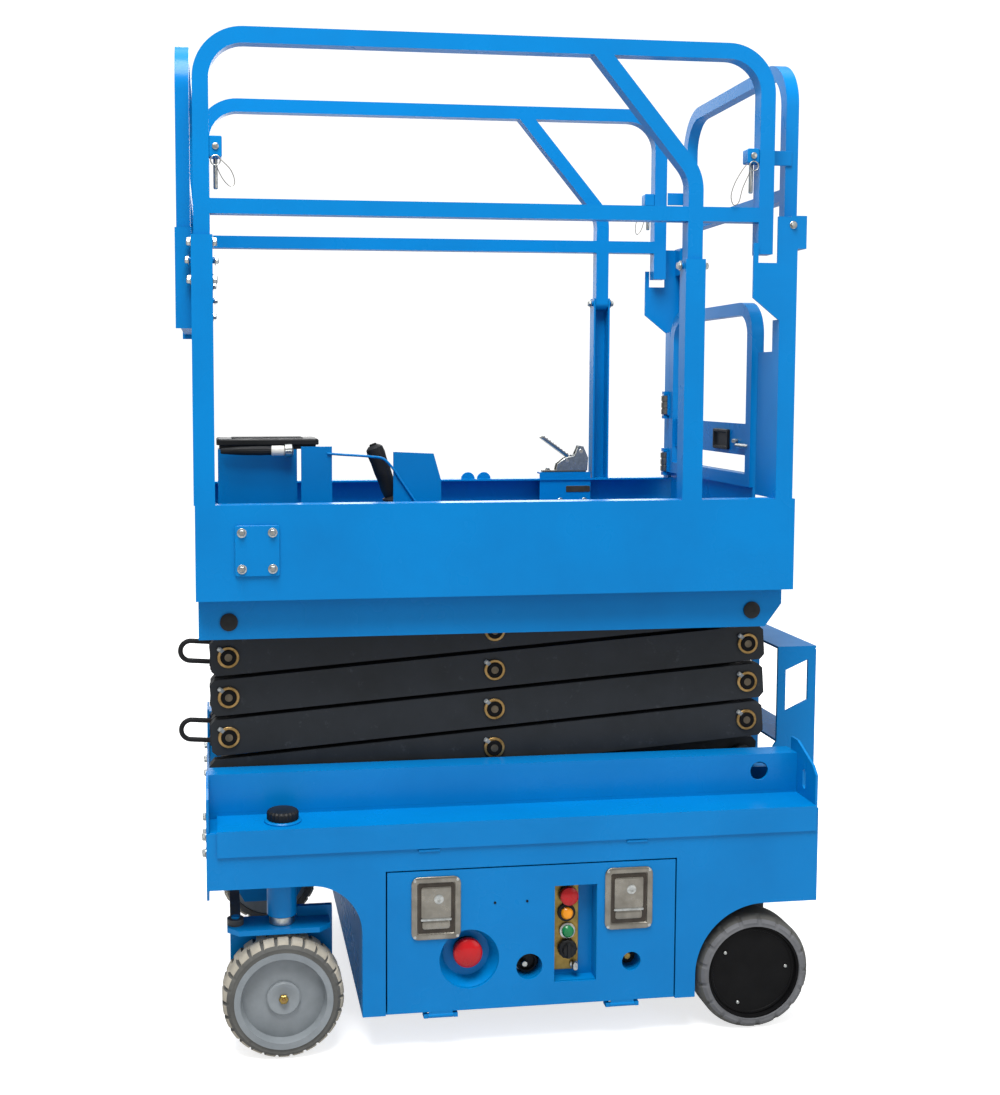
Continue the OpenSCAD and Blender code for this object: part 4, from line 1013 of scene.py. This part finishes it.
@dataclass
class ChassisFittings:
    """Small hardware on the chassis.

    Attributes:
        cover_z: Height of the side covers.
        panel_y: Distance of the side panels' outer faces from the middle.
        end_x: Distance of the end plates' outer faces from the middle.
        cap_at: X and Y of the filler cap.
        bolt_y: Y of the end plates' bolts.
        front_bolt_z: Heights of the front plate's bolts.
        rear_bolt_z: Heights of the rear plate's bolts.
        dimple_x: X of the covers' dimples.
        dimple_z: Height of the dimples.
        strip_y: Distances of the end strips' inner and outer edges from the middle.
        strip_in: Distance of an end strip's middle from the front plate's outer face.
        strip_drop: How far a strip's lower face lies below the cover.
        screw_x: X of the door's small screws.
        screw_z: Height of those screws.
        kingpin: X, distance from the middle, and height of the foot of a kingpin's sleeve.
    """

    cover_z: float = 456.0
    panel_y: float = 376.0
    end_x: float = 606.2
    cap_at: Pair = (-460.0, -330.0)
    bolt_y: tuple[float, ...] = (-330.0, -210.0, 210.0, 330.0)
    front_bolt_z: Pair = (400.0, 432.0)
    rear_bolt_z: Pair = (330.0, 425.0)
    dimple_x: Pair = (-182.0, 232.0)
    dimple_z: float = 401.0
    strip_y: Pair = (283.2, 370.8)
    strip_in: float = 15.2
    strip_drop: float = 10.0
    screw_x: Pair = (-52.0, 12.0)
    screw_z: float = 291.0
    kingpin: Spot = (-462.0, 312.0, 250.4)

    def oil_cap(self) -> Parts:
        """Ribbed black filler cap on a blue ring.

        Returns:
            Placed forms with their finishes.
        """
        ring = lathe([(36, 0), (36, 3), (34, 5), (30, 5)], 40)
        cap = lathe([(28, 3), (30, 6), (30, 19), (27, 22.5), (14, 24), (2, 24.4)], 96, 0.8, 24)
        return put_all([(ring, Surface.BLUE), (cap, Surface.PLASTIC)], *self.cap_at, self.cover_z)

    def bolts(self) -> Form:
        """Hexagon bolts on both end plates.

        Returns:
            All bolts as one form.
        """
        bolt = hex_bolt(7)
        front = bolt.put(0, 0, 0, Face.FRONT).repeated(
            [(-self.end_x, y, z) for y in self.bolt_y for z in self.front_bolt_z])
        rear = bolt.put(0, 0, 0, Face.REAR).repeated(
            [(self.end_x, y, z) for y in self.bolt_y for z in self.rear_bolt_z])
        return front + rear

    def seam_tabs(self) -> Form:
        """Pressed dimples under the covers' lower edges that hold them to the panels.

        Returns:
            The dimples of both sides as one form.
        """
        dimple = pan(44, 7, 3.4, [(0, 0), (0.4, 1.4), (1.6, 2.4), (2.6, 2.8)])
        near = dimple.put(0, -self.panel_y, 0, Face.NEAR)
        return near.repeated([(x, 0, self.dimple_z) for x in self.dimple_x]).both_sides()

    def end_strips(self) -> Form:
        """Folded strips just below the covers that close their front ends against the end plate.

        Returns:
            Both strips as one form.
        """
        inner, outer = self.strip_y
        strip = plate(20, outer - inner, 4.6, 1.0)
        near = strip.put(-self.end_x + self.strip_in, -(inner + outer) / 2, self.cover_z - self.strip_drop)
        return near.both_sides()

    def door_pins(self) -> Form:
        """Two small screws in the near door, between latch and switches."""
        screw = lathe([(2.6, 0), (2.6, 0.6), (1.6, 1.0)], 14).put(0, 0, 0, Face.NEAR)
        return screw.repeated([(x, -self.panel_y, self.screw_z) for x in self.screw_x])

    def build(self, shop: Workshop) -> None:
        """Fits the chassis hardware.

        Args:
            shop: Workshop that makes the pieces.
        """
        shop.piece("oil_cap", "chassis", self.oil_cap())
        shop.piece("end_plate_bolts", "chassis", [(self.bolts(), Surface.ZINC)])
        sheet = self.seam_tabs() + self.end_strips()
        shop.piece("cover_dimples", "chassis", [(sheet, Surface.BLUE)])
        shop.piece("door_screws", "door_near", [(self.door_pins(), Surface.HUB)])
        x, out, z = self.kingpin
        sleeve = lathe([(24, 0), (25, 1), (25, 15), (24, 16), (16.5, 16)], 36)
        for side, y in (("near", -out), ("far", out)):
            shop.piece(f"kingpin_sleeve_{side}", f"knuckle_{side}", [(sleeve.put(x, y, z), Surface.ZINC)])


@dataclass
class PlatformFittings:
    """Floor tread, skirt hardware, platform controls and the pedal latch.

    Attributes:
        floor_z: Height of the floor.
        tread_from: X and Y of the tread's first bar.
        tread_to: X and Y just past its last bar.
        tread_step: Distance of the tread's bars.
        skirt_y: Distance of the skirt's outer face from the middle.
        channel_y: The same for the channels below.
        cover_at: X and Z of the bolted plate on the skirt.
        cover_bolts: X and Z of that plate's bolts.
        plug_x: X of the plugs in the channels.
        plug_z: Height of the plugs.
        box: X, Y and Z of the document box's top middle.
        lid_ribs: Y of the ribs on its lid, from its middle.
        connector: End of the cable connector's body.
        stick: Foot of the joystick.
        stick_lean: Lean of the joystick, degrees.
        guard_y: Y of the joystick's guard bar.
        guard: X and Z of the points that the guard bar passes through.
        flange_y: Y of the far flange's inner face.
        ear_x: X of the ears on that flange.
        ear_z: Height of the ears' foot.
        bracket_y: Y of the pedal bracket's face.
        slot_at: X and Z of the slot in that bracket.
        slot_bolts: X of the bolts below it.
        slot_bolt_z: Height of those bolts.
        pedal: Near left corner of the pedal latch's seat.
        pedal_lean: Lean of the pedal, degrees.
    """

    floor_z: float = 905.0
    tread_from: Pair = (-600.0, -315.0)
    tread_to: Pair = (551.0, 316.0)
    tread_step: float = 30.0
    skirt_y: float = 335.0
    channel_y: float = 298.0
    cover_at: Pair = (-505.0, 981.5)
    cover_bolts: tuple[Pair, Pair] = ((-534.0, -476.0), (947.0, 1016.0))
    plug_x: Pair = (-559.0, 490.0)
    plug_z: float = 840.0
    box: Spot = (-472.5, 0.0, 1160.2)
    lid_ribs: tuple[float, ...] = (-36.0, -18.0, 0.0, 18.0, 36.0)
    connector: Spot = (-571.0, -78.0, 1158.0)
    stick: Spot = (-203.0, -55.0, 1035.2)
    stick_lean: float = -20.0
    guard_y: float = -102.3
    guard: tuple[Pair, ...] = ((-352, 1152.5), (-322, 1150), (-292, 1148), (-262, 1145.5), (-236, 1141),
                               (-217, 1123), (-200, 1098), (-183, 1073), (-166, 1048))
    flange_y: float = 322.0
    ear_x: Pair = (24.0, 63.0)
    ear_z: float = 1068.0
    bracket_y: float = 298.0
    slot_at: Pair = (292.0, 1042.0)
    slot_bolts: Pair = (248.0, 308.0)
    slot_bolt_z: float = 1013.0
    pedal: Spot = (197.0, 298.0, 1083.2)
    pedal_lean: float = 36.0

    def tread(self) -> Form:
        """Rolled tread plate: almond-shaped bars, each turned against its neighbours on a square grid.

        A bar's half width is the sine of its length's share, so that both ends run out to points.

        Returns:
            All bars as one form.
        """
        share = np.linspace(0, 2 * np.pi, 10, endpoint=False)
        ring = np.column_stack([11.0 * np.cos(share), 3.2 * np.sin(share)])
        steps = ((1.0, -0.4), (0.92, 0.5), (0.6, 1.1))
        bar = skin(np.stack([raised(ring * size, high) for size, high in steps]))
        rows, lines = (np.arange(a, b, self.tread_step) for a, b in zip(self.tread_from, self.tread_to))
        x, y = np.meshgrid(rows, lines, indexing="ij")
        across, along = (np.arange(len(one)) for one in (rows, lines))
        odd = ((across[:, None] + along[None]) % 2 == 1).ravel()
        flat = np.column_stack([x.ravel(), y.ravel(), np.full(x.size, self.floor_z)])
        return bar.turned("Z", 45).repeated(flat[odd]) + bar.turned("Z", -45).repeated(flat[~odd])

    def skirt_plate(self) -> Parts:
        """Bolted cover plate on the near skirt, and the black plugs in the channels' ends.

        Returns:
            Placed forms with their finishes.
        """
        thick = 4.5
        x, z = self.cover_at
        cover = plate(84, 97, thick, 5, 1.0).put(x, -self.skirt_y, z, Face.NEAR)
        across, up = self.cover_bolts
        bolts = hex_bolt(6).put(0, 0, 0, Face.NEAR).repeated(
            [(x, -self.skirt_y - thick + 0.1, z) for x in across for z in up])
        plug = lathe([(16, 0), (17.2, 1), (17.2, 3), (13, 4.6), (5, 5), (1, 4.2)], 36)
        plugs = plug.put(0, -self.channel_y, 0, Face.NEAR).repeated(
            [(x, 0, self.plug_z) for x in self.plug_x])
        return [(cover, Surface.BLUE), (bolts, Surface.ZINC), (plugs.both_sides(), Surface.PLASTIC)]

    def controls(self) -> Parts:
        """Lid of the document box, a cable connector lying in front of it, and the joystick on its boot.

        Returns:
            Placed forms with their finishes.
        """
        lid = pan(213, 126, 9, [(6, 0), (6, 8.4), (0.8, 9), (0, 10), (0, 18.5), (2, 21), (7, 21.6),
                                (12, 21.6)])
        ribs = pan(150, 5, 2, [(0, 21), (0, 22.4), (1, 23)]).repeated([(0, y, 0) for y in self.lid_ribs])
        body = lathe([(5, 0), (6, 4), (8.6, 40), (9.4, 84), (8.8, 104), (7, 106)], 28, 0.3, 14)
        collar = lathe([(8, 104), (10.5, 106), (10.5, 131), (9, 132)], 28)
        ring = lathe([(11, 132), (13, 133), (13, 147), (11, 149), (8, 150)], 28, 0.5, 12)
        boot = lathe([(32, 0), (32, 4), (29, 6), (23, 8), (22, 12), (28, 14), (28.5, 17), (25, 20), (17, 25),
                      (15, 32)], 36)
        grip = lathe([(13, 24), (16, 30), (17.4, 44), (17, 62), (18.4, 84), (18, 104), (19.4, 122), (18, 134),
                      (11, 140), (2, 141)], 32)
        trigger = pan(10, 30, 4, [(0, 0), (0, 3), (2, 5)]).put(0, 112, 17, Face.NEAR)
        rocker = pan(16, 12, 4, [(0, 138), (0, 142), (2, 144)])
        top = [(lid, Surface.PLASTIC), (ribs, Surface.PLASTIC)]
        plug = [(body, Surface.PLASTIC), (collar, Surface.NYLON), (ring, Surface.ZINC)]
        stick = [(form.turned("Y", self.stick_lean), paint) for form, paint in (
            (grip, Surface.PLASTIC), (trigger, Surface.HUB), (rocker, Surface.HUB))]
        return (put_all(top, *self.box) + put_all([(boot, Surface.HOSE)], *self.stick)
                + put_all(plug, *self.connector, Face.REAR) + put_all(stick, *self.stick))

    def hoop(self) -> Form:
        """Thin bar that guards the joystick: level from one bracket's face, then down across the other's."""
        return tube(smooth_path([(x, self.guard_y, z) for x, z in self.guard], 40), 2.6, 12)

    def far_flange(self) -> Parts:
        """Two round-backed ears on the far flange, painted shade in the pedal bracket's slot, and two bolts.

        Returns:
            Placed forms with their finishes.
        """
        r = 17
        arc = [(r * math.cos(a), -1 + r * math.sin(a)) for a in np.linspace(0, np.pi, 9)]
        ear = slab(arc, 0, 5).put(0, self.flange_y, self.ear_z, Face.NEAR)
        ears = ear.repeated([(x, 0, 0) for x in self.ear_x])
        x, z = self.slot_at
        # A dark plate painted as the shade inside the bracket's slot.
        slot_shade = pan(60, 15, 3, [(0, -0.4), (0, 0.6), (0.8, 1.2)]).put(x, self.bracket_y, z, Face.NEAR)
        bolt = hex_bolt(5).put(0, self.bracket_y, self.slot_bolt_z, Face.NEAR)
        bolts = bolt.repeated([(x, 0, 0) for x in self.slot_bolts])
        return [(ears, Surface.BLUE), (slot_shade, Surface.PAINTED_SHADE), (bolts, Surface.ZINC)]

    def pedal_latch(self) -> Parts:
        """Steel pedal between two cheeks on a base plate, with its spring, pin and bolts.

        Returns:
            Placed forms with their finishes.
        """
        x, y, z = self.pedal
        mid, wide = y + 12.5, y + 25
        base = plate(108, 25, 5, 4).put(x + 62, mid, z)
        cheek = slab([(40, 3), (118, 3), (120, 34), (108, 62), (96, 64), (86, 40), (62, 34), (44, 20)], 0, 4)
        cheeks = [cheek.put(x, y + depth, z, Face.NEAR) for depth in (4.2, 24.8)]
        tread = pan(84, 23, 4, [(0.6, -4), (0, -3), (0, 2), (1, 3.4), (3, 3.8)])
        grooves = pan(3, 19, 1, [(0, 3.6), (0, 4.6), (0.6, 5.2)]).repeated(
            [(a, 0, 0) for a in range(-36, 37, 9)])
        tread, grooves = (form.turned("Y", self.pedal_lean).put(x + 38, mid, z + 62)
                          for form in (tread, grooves))
        pin = lathe([(4.4, 0), (5, 0.8), (5, 24.2), (4.4, 25)], 20).put(x + 68, wide, z + 27, Face.NEAR)
        pivot = lathe([(5, 0), (6, 0.8), (6, 24.2), (5, 25)], 20).put(x + 102, wide, z + 50, Face.NEAR)
        turns = np.linspace(0, 5 * 2 * np.pi, 90)
        coil = np.column_stack([x + 84 + 7 * np.cos(turns), mid + 7 * np.sin(turns), z + 6 + turns * 1.2])
        bolts = hex_bolt(4.5).repeated([(x + 22, mid, z + 5), (x + 110, mid, z + 5)])
        return [(base, Surface.STAINLESS), (cheeks[0] + cheeks[1], Surface.ZINC), (tread, Surface.ZINC),
                (grooves, Surface.STAINLESS), (pin + pivot, Surface.CHROME),
                (tube(coil, 1.3, 8), Surface.CHROME), (bolts, Surface.ZINC)]

    def build(self, shop: Workshop) -> None:
        """Fits out the platform.

        Args:
            shop: Workshop that makes the pieces.
        """
        shop.piece("floor_tread", "platform", [(self.tread(), Surface.BLUE)])
        shop.piece("skirt_hardware", "platform", self.skirt_plate())
        shop.piece("platform_joystick", "platform", self.controls(), ["platform_controls"])
        shop.piece("far_flange_fittings", "platform", self.far_flange())
        shop.piece("joystick_guard", "platform", [(self.hoop(), Surface.BLUE)])
        shop.piece("pedal_mechanism", "platform", self.pedal_latch(), ["pedal_latch"])


@dataclass
class RailFittings:
    """Pivot bolts on the posts, lock pins on the rails and their plates.

    Attributes:
        rail_y: Distance of the side rails' outer faces from the middle.
        half_tube: Half the width of a rail's tube.
        front_x: X of the front posts' outer faces, front and rear.
        post_x: X of the middle posts' faces.
        near_z: Height of the near rail's pivot.
        drop: How much lower the far rail pivots.
        lock_rise: Heights of the posts' lock holes from a pivot.
        cap_out: How far a pivot's cap stands off its post.
        hoop_pivot: Place of the rear hoop's near pivot bolt.
        front_lock: Middle, lower edge, height and pin's lower end of the front lock.
        rear_lock: The same for the rear lock.
        lock_y: Y of the locks' inner face.
        clamp_x: X of the hoop's clamp plates, from and to.
        clamp_z: Their heights, from and to.
        clamp_y: Y of their inner face.
    """

    rail_y: float = 330.0
    half_tube: float = 15.0
    front_x: Pair = (-623.0, -583.0)
    post_x: Pair = (328.0, 368.0)
    near_z: float = 1526.0
    drop: float = 36.0
    lock_rise: Pair = (-36.0, 34.0)
    cap_out: float = 4.0
    hoop_pivot: Spot = (545.0, -335.0, 1606.0)
    front_lock: tuple[float, float, float, float] = (-576.0, 1714.0, 39.0, 1657.0)
    rear_lock: tuple[float, float, float, float] = (464.0, 1725.0, 28.0, 1668.0)
    lock_y: float = -302.0
    clamp_x: Pair = (506.5, 556.0)
    clamp_z: Pair = (1726.0, 1755.0)
    clamp_y: float = -294.2

    def pivot_bolts(self) -> Form:
        """Bolt heads and nuts at the posts' pivots and lock holes.

        Returns:
            All bolts as one form.
        """
        y = self.rail_y - self.half_tube
        spots = [(-y, self.near_z), (y, self.near_z - self.drop)]
        levels = [(y, z + rise) for y, z in spots for rise in self.lock_rise]
        bolt, cap = hex_bolt(7.5), hex_bolt(6.5)
        front, rear = (bolt.put(0, 0, 0, face).repeated([(x, y, z) for y, z in levels])
                       for x, face in zip(self.front_x, (Face.FRONT, Face.REAR)))
        total = front + rear
        for y, z in spots:
            for forward, back in (self.front_x, self.post_x):
                total = total + cap.put(forward - self.cap_out, y, z, Face.FRONT)
                total = total + cap.put(back + self.cap_out, y, z, Face.REAR)
        return total

    def hoop_bolts(self) -> Form:
        """Bolt heads at the rear hoop's pivots."""
        return hex_bolt(5).put(*self.hoop_pivot, Face.NEAR).both_sides()

    def lock(self, x: float, z: float, high: float, pin_low: float) -> Parts:
        """Lock lug with its drop pin and ring on a near rail's post.

        Args:
            x: Middle of the lug.
            z: Lower edge of the lug.
            high: Height of the lug.
            pin_low: Lower end of the pin.

        Returns:
            The lug's forms, facing the near side.
        """
        y, mid = self.lock_y, z + high / 2
        lug = pan(24, high, 3, [(0.8, 0), (0, 0.8), (0, 25), (1, 26)]).put(x, y, mid, Face.NEAR)
        long = z - pin_low
        pin = lathe([(3, 0), (4.2, 1.4), (4.2, long + 4), (3.6, long + 5)], 20).put(x, y - 13, pin_low)
        angle = np.linspace(0, 2 * np.pi, 30)
        circle = np.column_stack([x + 9 * np.cos(angle), np.full(30, y - 27.4), z - 6 + 9 * np.sin(angle)])
        head = lathe([(5.4, 0), (6, 0.6), (6, 3), (4, 4)], 20).put(x, y - 25.6, mid, Face.NEAR)
        return [(lug, Surface.BLUE), (pin, Surface.ZINC), (tube(circle, 1.2, 8), Surface.ZINC),
                (head, Surface.ZINC)]

    def clamp(self) -> Parts:
        """Plate on the rear hoop's near leg that takes the side rail's lock pin.

        Returns:
            The placed form with its finish.
        """
        (x0, x1), (z0, z1) = self.clamp_x, self.clamp_z
        sheet = slab([(x0, z0), (x1, z0), (x1, z1), (x0, z1)], 0, 3)
        return [(sheet.put(0, self.clamp_y, 0, Face.NEAR), Surface.BLUE)]

    def build(self, shop: Workshop) -> None:
        """Fits the rails' hardware.

        Args:
            shop: Workshop that makes the pieces.
        """
        bolts = self.pivot_bolts() + self.hoop_bolts()
        shop.piece("post_bolts", "platform", [(bolts, Surface.ZINC)])
        front, rear = self.lock(*self.front_lock), self.lock(*self.rear_lock)
        shop.piece("rail_near_locks", "rail_near", front + rear)
        shop.piece("rail_far_locks", "rail_far", mirror_all(rear))
        clamps = self.clamp() + mirror_all(self.clamp())
        shop.piece("rail_rear_clamps", "rail_rear", clamps)


@dataclass
class GateFittings:
    """Latch and hinges of the entry gate.

    Attributes:
        plate_x: X of the cross plate's inner face.
        case_at: Y and Z of the latch case's middle.
        bolt_at: Y and Z of the bolt beside it.
        slide: Distance of the slide from the plate, and the Y and Z of its end.
        hinge: X and Y of the hinge line.
        hinge_z: Heights of the hinges' lower ends.
    """

    plate_x: float = 522.0
    case_at: Pair = (-44.0, 1176.0)
    bolt_at: Pair = (-122.0, 1174.0)
    slide: Spot = (6.0, -140.0, 1166.0)
    hinge: Pair = (510.0, 297.0)
    hinge_z: Pair = (1074.0, 1212.0)

    def latch(self) -> Parts:
        """Square black latch case with a finger hole and a bolt beside it, on the cross plate's inner face.

        Returns:
            Placed forms with their finishes.
        """
        off, y, z = self.slide
        case = pan(86, 44, 4, [(0.6, 0), (0, 0.6), (0, 5), (1.4, 6.4), (6, 6.4), (8, 2.0)])
        bolt = pan(22, 9, 4, [(0, 0), (0, 5), (1.2, 6.4)])
        slide = lathe([(4, 0), (4.6, 0.8), (4.6, 62), (4, 62.8)], 18).turned("X", 90)
        return [(case.put(self.plate_x, *self.case_at, Face.FRONT), Surface.PLASTIC),
                (bolt.put(self.plate_x, *self.bolt_at, Face.FRONT), Surface.ZINC),
                (slide.put(self.plate_x - off, y, z), Surface.ZINC)]

    def sleeves(self) -> Form:
        """Bright knuckled sleeves over the hinges' barrels.

        Returns:
            Both hinges' sleeves as one form.
        """
        sleeve = lathe([(9.1, 10), (11, 11), (11, 23), (9.8, 24), (9.8, 26), (11, 27), (11, 39), (9.8, 40),
                        (9.8, 42), (11, 43), (11, 55), (9.1, 56)], 28)
        return sleeve.repeated([(*self.hinge, z) for z in self.hinge_z])

    def build(self, shop: Workshop) -> None:
        """Fits the gate's hardware.

        Args:
            shop: Workshop that makes the pieces.
        """
        shop.piece("gate_latch", "gate", self.latch())
        shop.piece("gate_hinge_sleeves", "gate", [(self.sleeves(), Surface.STAINLESS)])


@dataclass(frozen=True)
class Lamp:
    """A soft square studio light.

    Attributes:
        name: Name of the light.
        place: Place in the frame, m.
        size: Length of its sides, m.
        power: Power, W.
    """

    name: str
    place: Spot
    size: float
    power: float

    def hang(self, aim: Spot) -> None:
        """Hangs the light and turns it.

        Args:
            aim: Point that it faces.
        """
        data = bpy.data.lights.new(self.name, "AREA")
        data.size, data.energy = self.size, self.power
        lamp = bpy.data.objects.new(self.name, data)
        bpy.context.scene.collection.objects.link(lamp)
        lamp.location = self.place
        lamp.rotation_mode = "QUATERNION"
        lamp.rotation_quaternion = (Vector(aim) - Vector(self.place)).to_track_quat("-Z", "Y")


@dataclass
class Studio:
    """Camera, lights and floor.

    Attributes:
        camera: Camera place from the chassis middle.
        yaw: Turn of the view to the right, radians.
        pitch: Tilt of the view down, radians.
        roll: Roll of the view, radians.
        focal_px: Focal length in pixels of the photograph's frame.
        centre_px: Principal point in that frame.
        frame_px: Width and height of that frame.
        sensor: Width of the camera's sensor, mm.
        lamps: The lights: a steep key at the near side, so that faces that look up are brightest.
        aim: Point that the lights face.
        surround: Brightness of the pale surround where the camera sees it.
        ambient: Brightness of the surround as a light.
        floor_half: Half the floor's side, m.
        floor_colour: Colour of the floor.
        floor_rough: Roughness of the floor.
        floor_glow: Brightness added to the floor where the camera sees it, so that it stays white far off.
    """

    camera: Spot = (-0.5849, -2.8671, 1.2935)
    yaw: float = 0.1329
    pitch: float = 0.0747
    roll: float = -0.0003
    focal_px: float = 1342.5
    centre_px: Pair = (392.9, 485.6)
    frame_px: tuple[int, int] = (1000, 1095)
    sensor: float = 36.0
    lamps: tuple[Lamp, ...] = (
        Lamp("key_light", (-0.9, -2.2, 5.6), 2.6, 430.0),
        Lamp("fill_light", (3.2, -2.8, 2.2), 2.6, 30.0),
        Lamp("top_light", (0.2, 0.3, 4.4), 3.0, 40.0),
        Lamp("back_light", (0.4, 3.6, 2.6), 2.6, 60.0),
    )
    aim: Spot = (0.0, 0.0, 0.9)
    surround: float = 1.1
    ambient: float = 0.55
    floor_half: float = 30.0
    floor_colour: str = "#CFCFCF"
    floor_rough: float = 0.9
    floor_glow: float = 0.72

    def place_camera(self) -> None:
        """Places the camera with the photograph's perspective and framing.

        The view looks along +Y, turned right by yaw, tilted down by pitch and rolled by roll.
        """
        data = bpy.data.cameras.new("photo_camera")
        width, height = self.frame_px
        long_side = max(width, height)
        data.sensor_fit = "AUTO"
        data.sensor_width = self.sensor
        data.lens = self.focal_px * self.sensor / long_side
        data.shift_x = (width / 2 - self.centre_px[0]) / long_side
        data.shift_y = (self.centre_px[1] - height / 2) / long_side
        data.clip_start, data.clip_end = 0.05, 60.0
        shown = bpy.data.objects.new("photo_camera", data)
        bpy.context.scene.collection.objects.link(shown)
        turn = (Matrix.Rotation(-self.yaw, 4, "Z") @ Matrix.Rotation(math.pi / 2 - self.pitch, 4, "X")
                @ Matrix.Rotation(self.roll, 4, "Z"))
        x, y, z = self.camera
        shown.matrix_world = Matrix.Translation((x - MID_X * MM, y, z)) @ turn
        bpy.context.scene.camera = shown

    def set_by_ray(self, tree: bpy.types.NodeTree, socket: bpy.types.NodeSocket, lit: float,
                   seen: float) -> None:
        """Gives a socket one level as a light and another where the camera sees it.

        Args:
            tree: Node tree of the socket.
            socket: Strength to set.
            lit: Level for rays that light the machine.
            seen: Level for rays from the camera.
        """
        ray = add_node(tree, "ShaderNodeLightPath").outputs["Is Camera Ray"]
        level = add_node(tree, "ShaderNodeMapRange", {"Value": ray, "To Min": lit, "To Max": seen})
        tree.links.new(level.outputs["Result"], socket)

    def light(self) -> None:
        """Hangs the studio lights, sets a pale surround and shows colours as they are."""
        bpy.context.scene.view_settings.view_transform = "Standard"
        world = bpy.data.worlds.new("pale_surround")
        bpy.context.scene.world = world
        world.use_nodes = True
        shade = world.node_tree.nodes["Background"]
        shade.inputs["Color"].default_value = linear(WHITE)
        self.set_by_ray(world.node_tree, shade.inputs["Strength"], self.ambient, self.surround)
        for lamp in self.lamps:
            lamp.hang(self.aim)

    def lay_floor(self) -> None:
        """Lays a large pale floor at ground height."""
        half = self.floor_half
        mesh = bpy.data.meshes.new("studio_floor")
        mesh.from_pydata([(-half, -half, 0.0), (half, -half, 0.0), (half, half, 0.0), (-half, half, 0.0)], [],
                         [(0, 1, 2, 3)])
        material = bpy.data.materials.new("matte_white_floor")
        material.use_nodes = True
        shader = material.node_tree.nodes["Principled BSDF"]
        shader.inputs["Base Color"].default_value = linear(self.floor_colour)
        shader.inputs["Roughness"].default_value = self.floor_rough
        shader.inputs["Emission Color"].default_value = linear(WHITE)
        self.set_by_ray(material.node_tree, shader.inputs["Emission Strength"], 0.0, self.floor_glow)
        mesh.materials.append(material)
        floor = bpy.data.objects.new("studio_floor", mesh)
        bpy.context.scene.collection.objects.link(floor)

    def build(self) -> None:
        """Sets up the whole studio."""
        self.place_camera()
        self.light()
        self.lay_floor()


def main() -> None:
    """Builds the lift's looks in order."""
    logging.basicConfig(level=logging.INFO, format="%(name)s: %(message)s")
    shop = Workshop()
    Studio().build()
    Cords().build(shop)
    shop.dress_frame()
    LOG.info("dressed %d CAD nodes", len(frame["nodes"]))
    for fittings in (Wheels(), DoorFittings(), GroundControls(), ScissorFittings(), ChassisFittings(),
                     PlatformFittings(), RailFittings(), GateFittings()):
        fittings.build(shop)
        LOG.info("fitted %s", type(fittings).__name__)


if __name__ == "__main__":
    main()
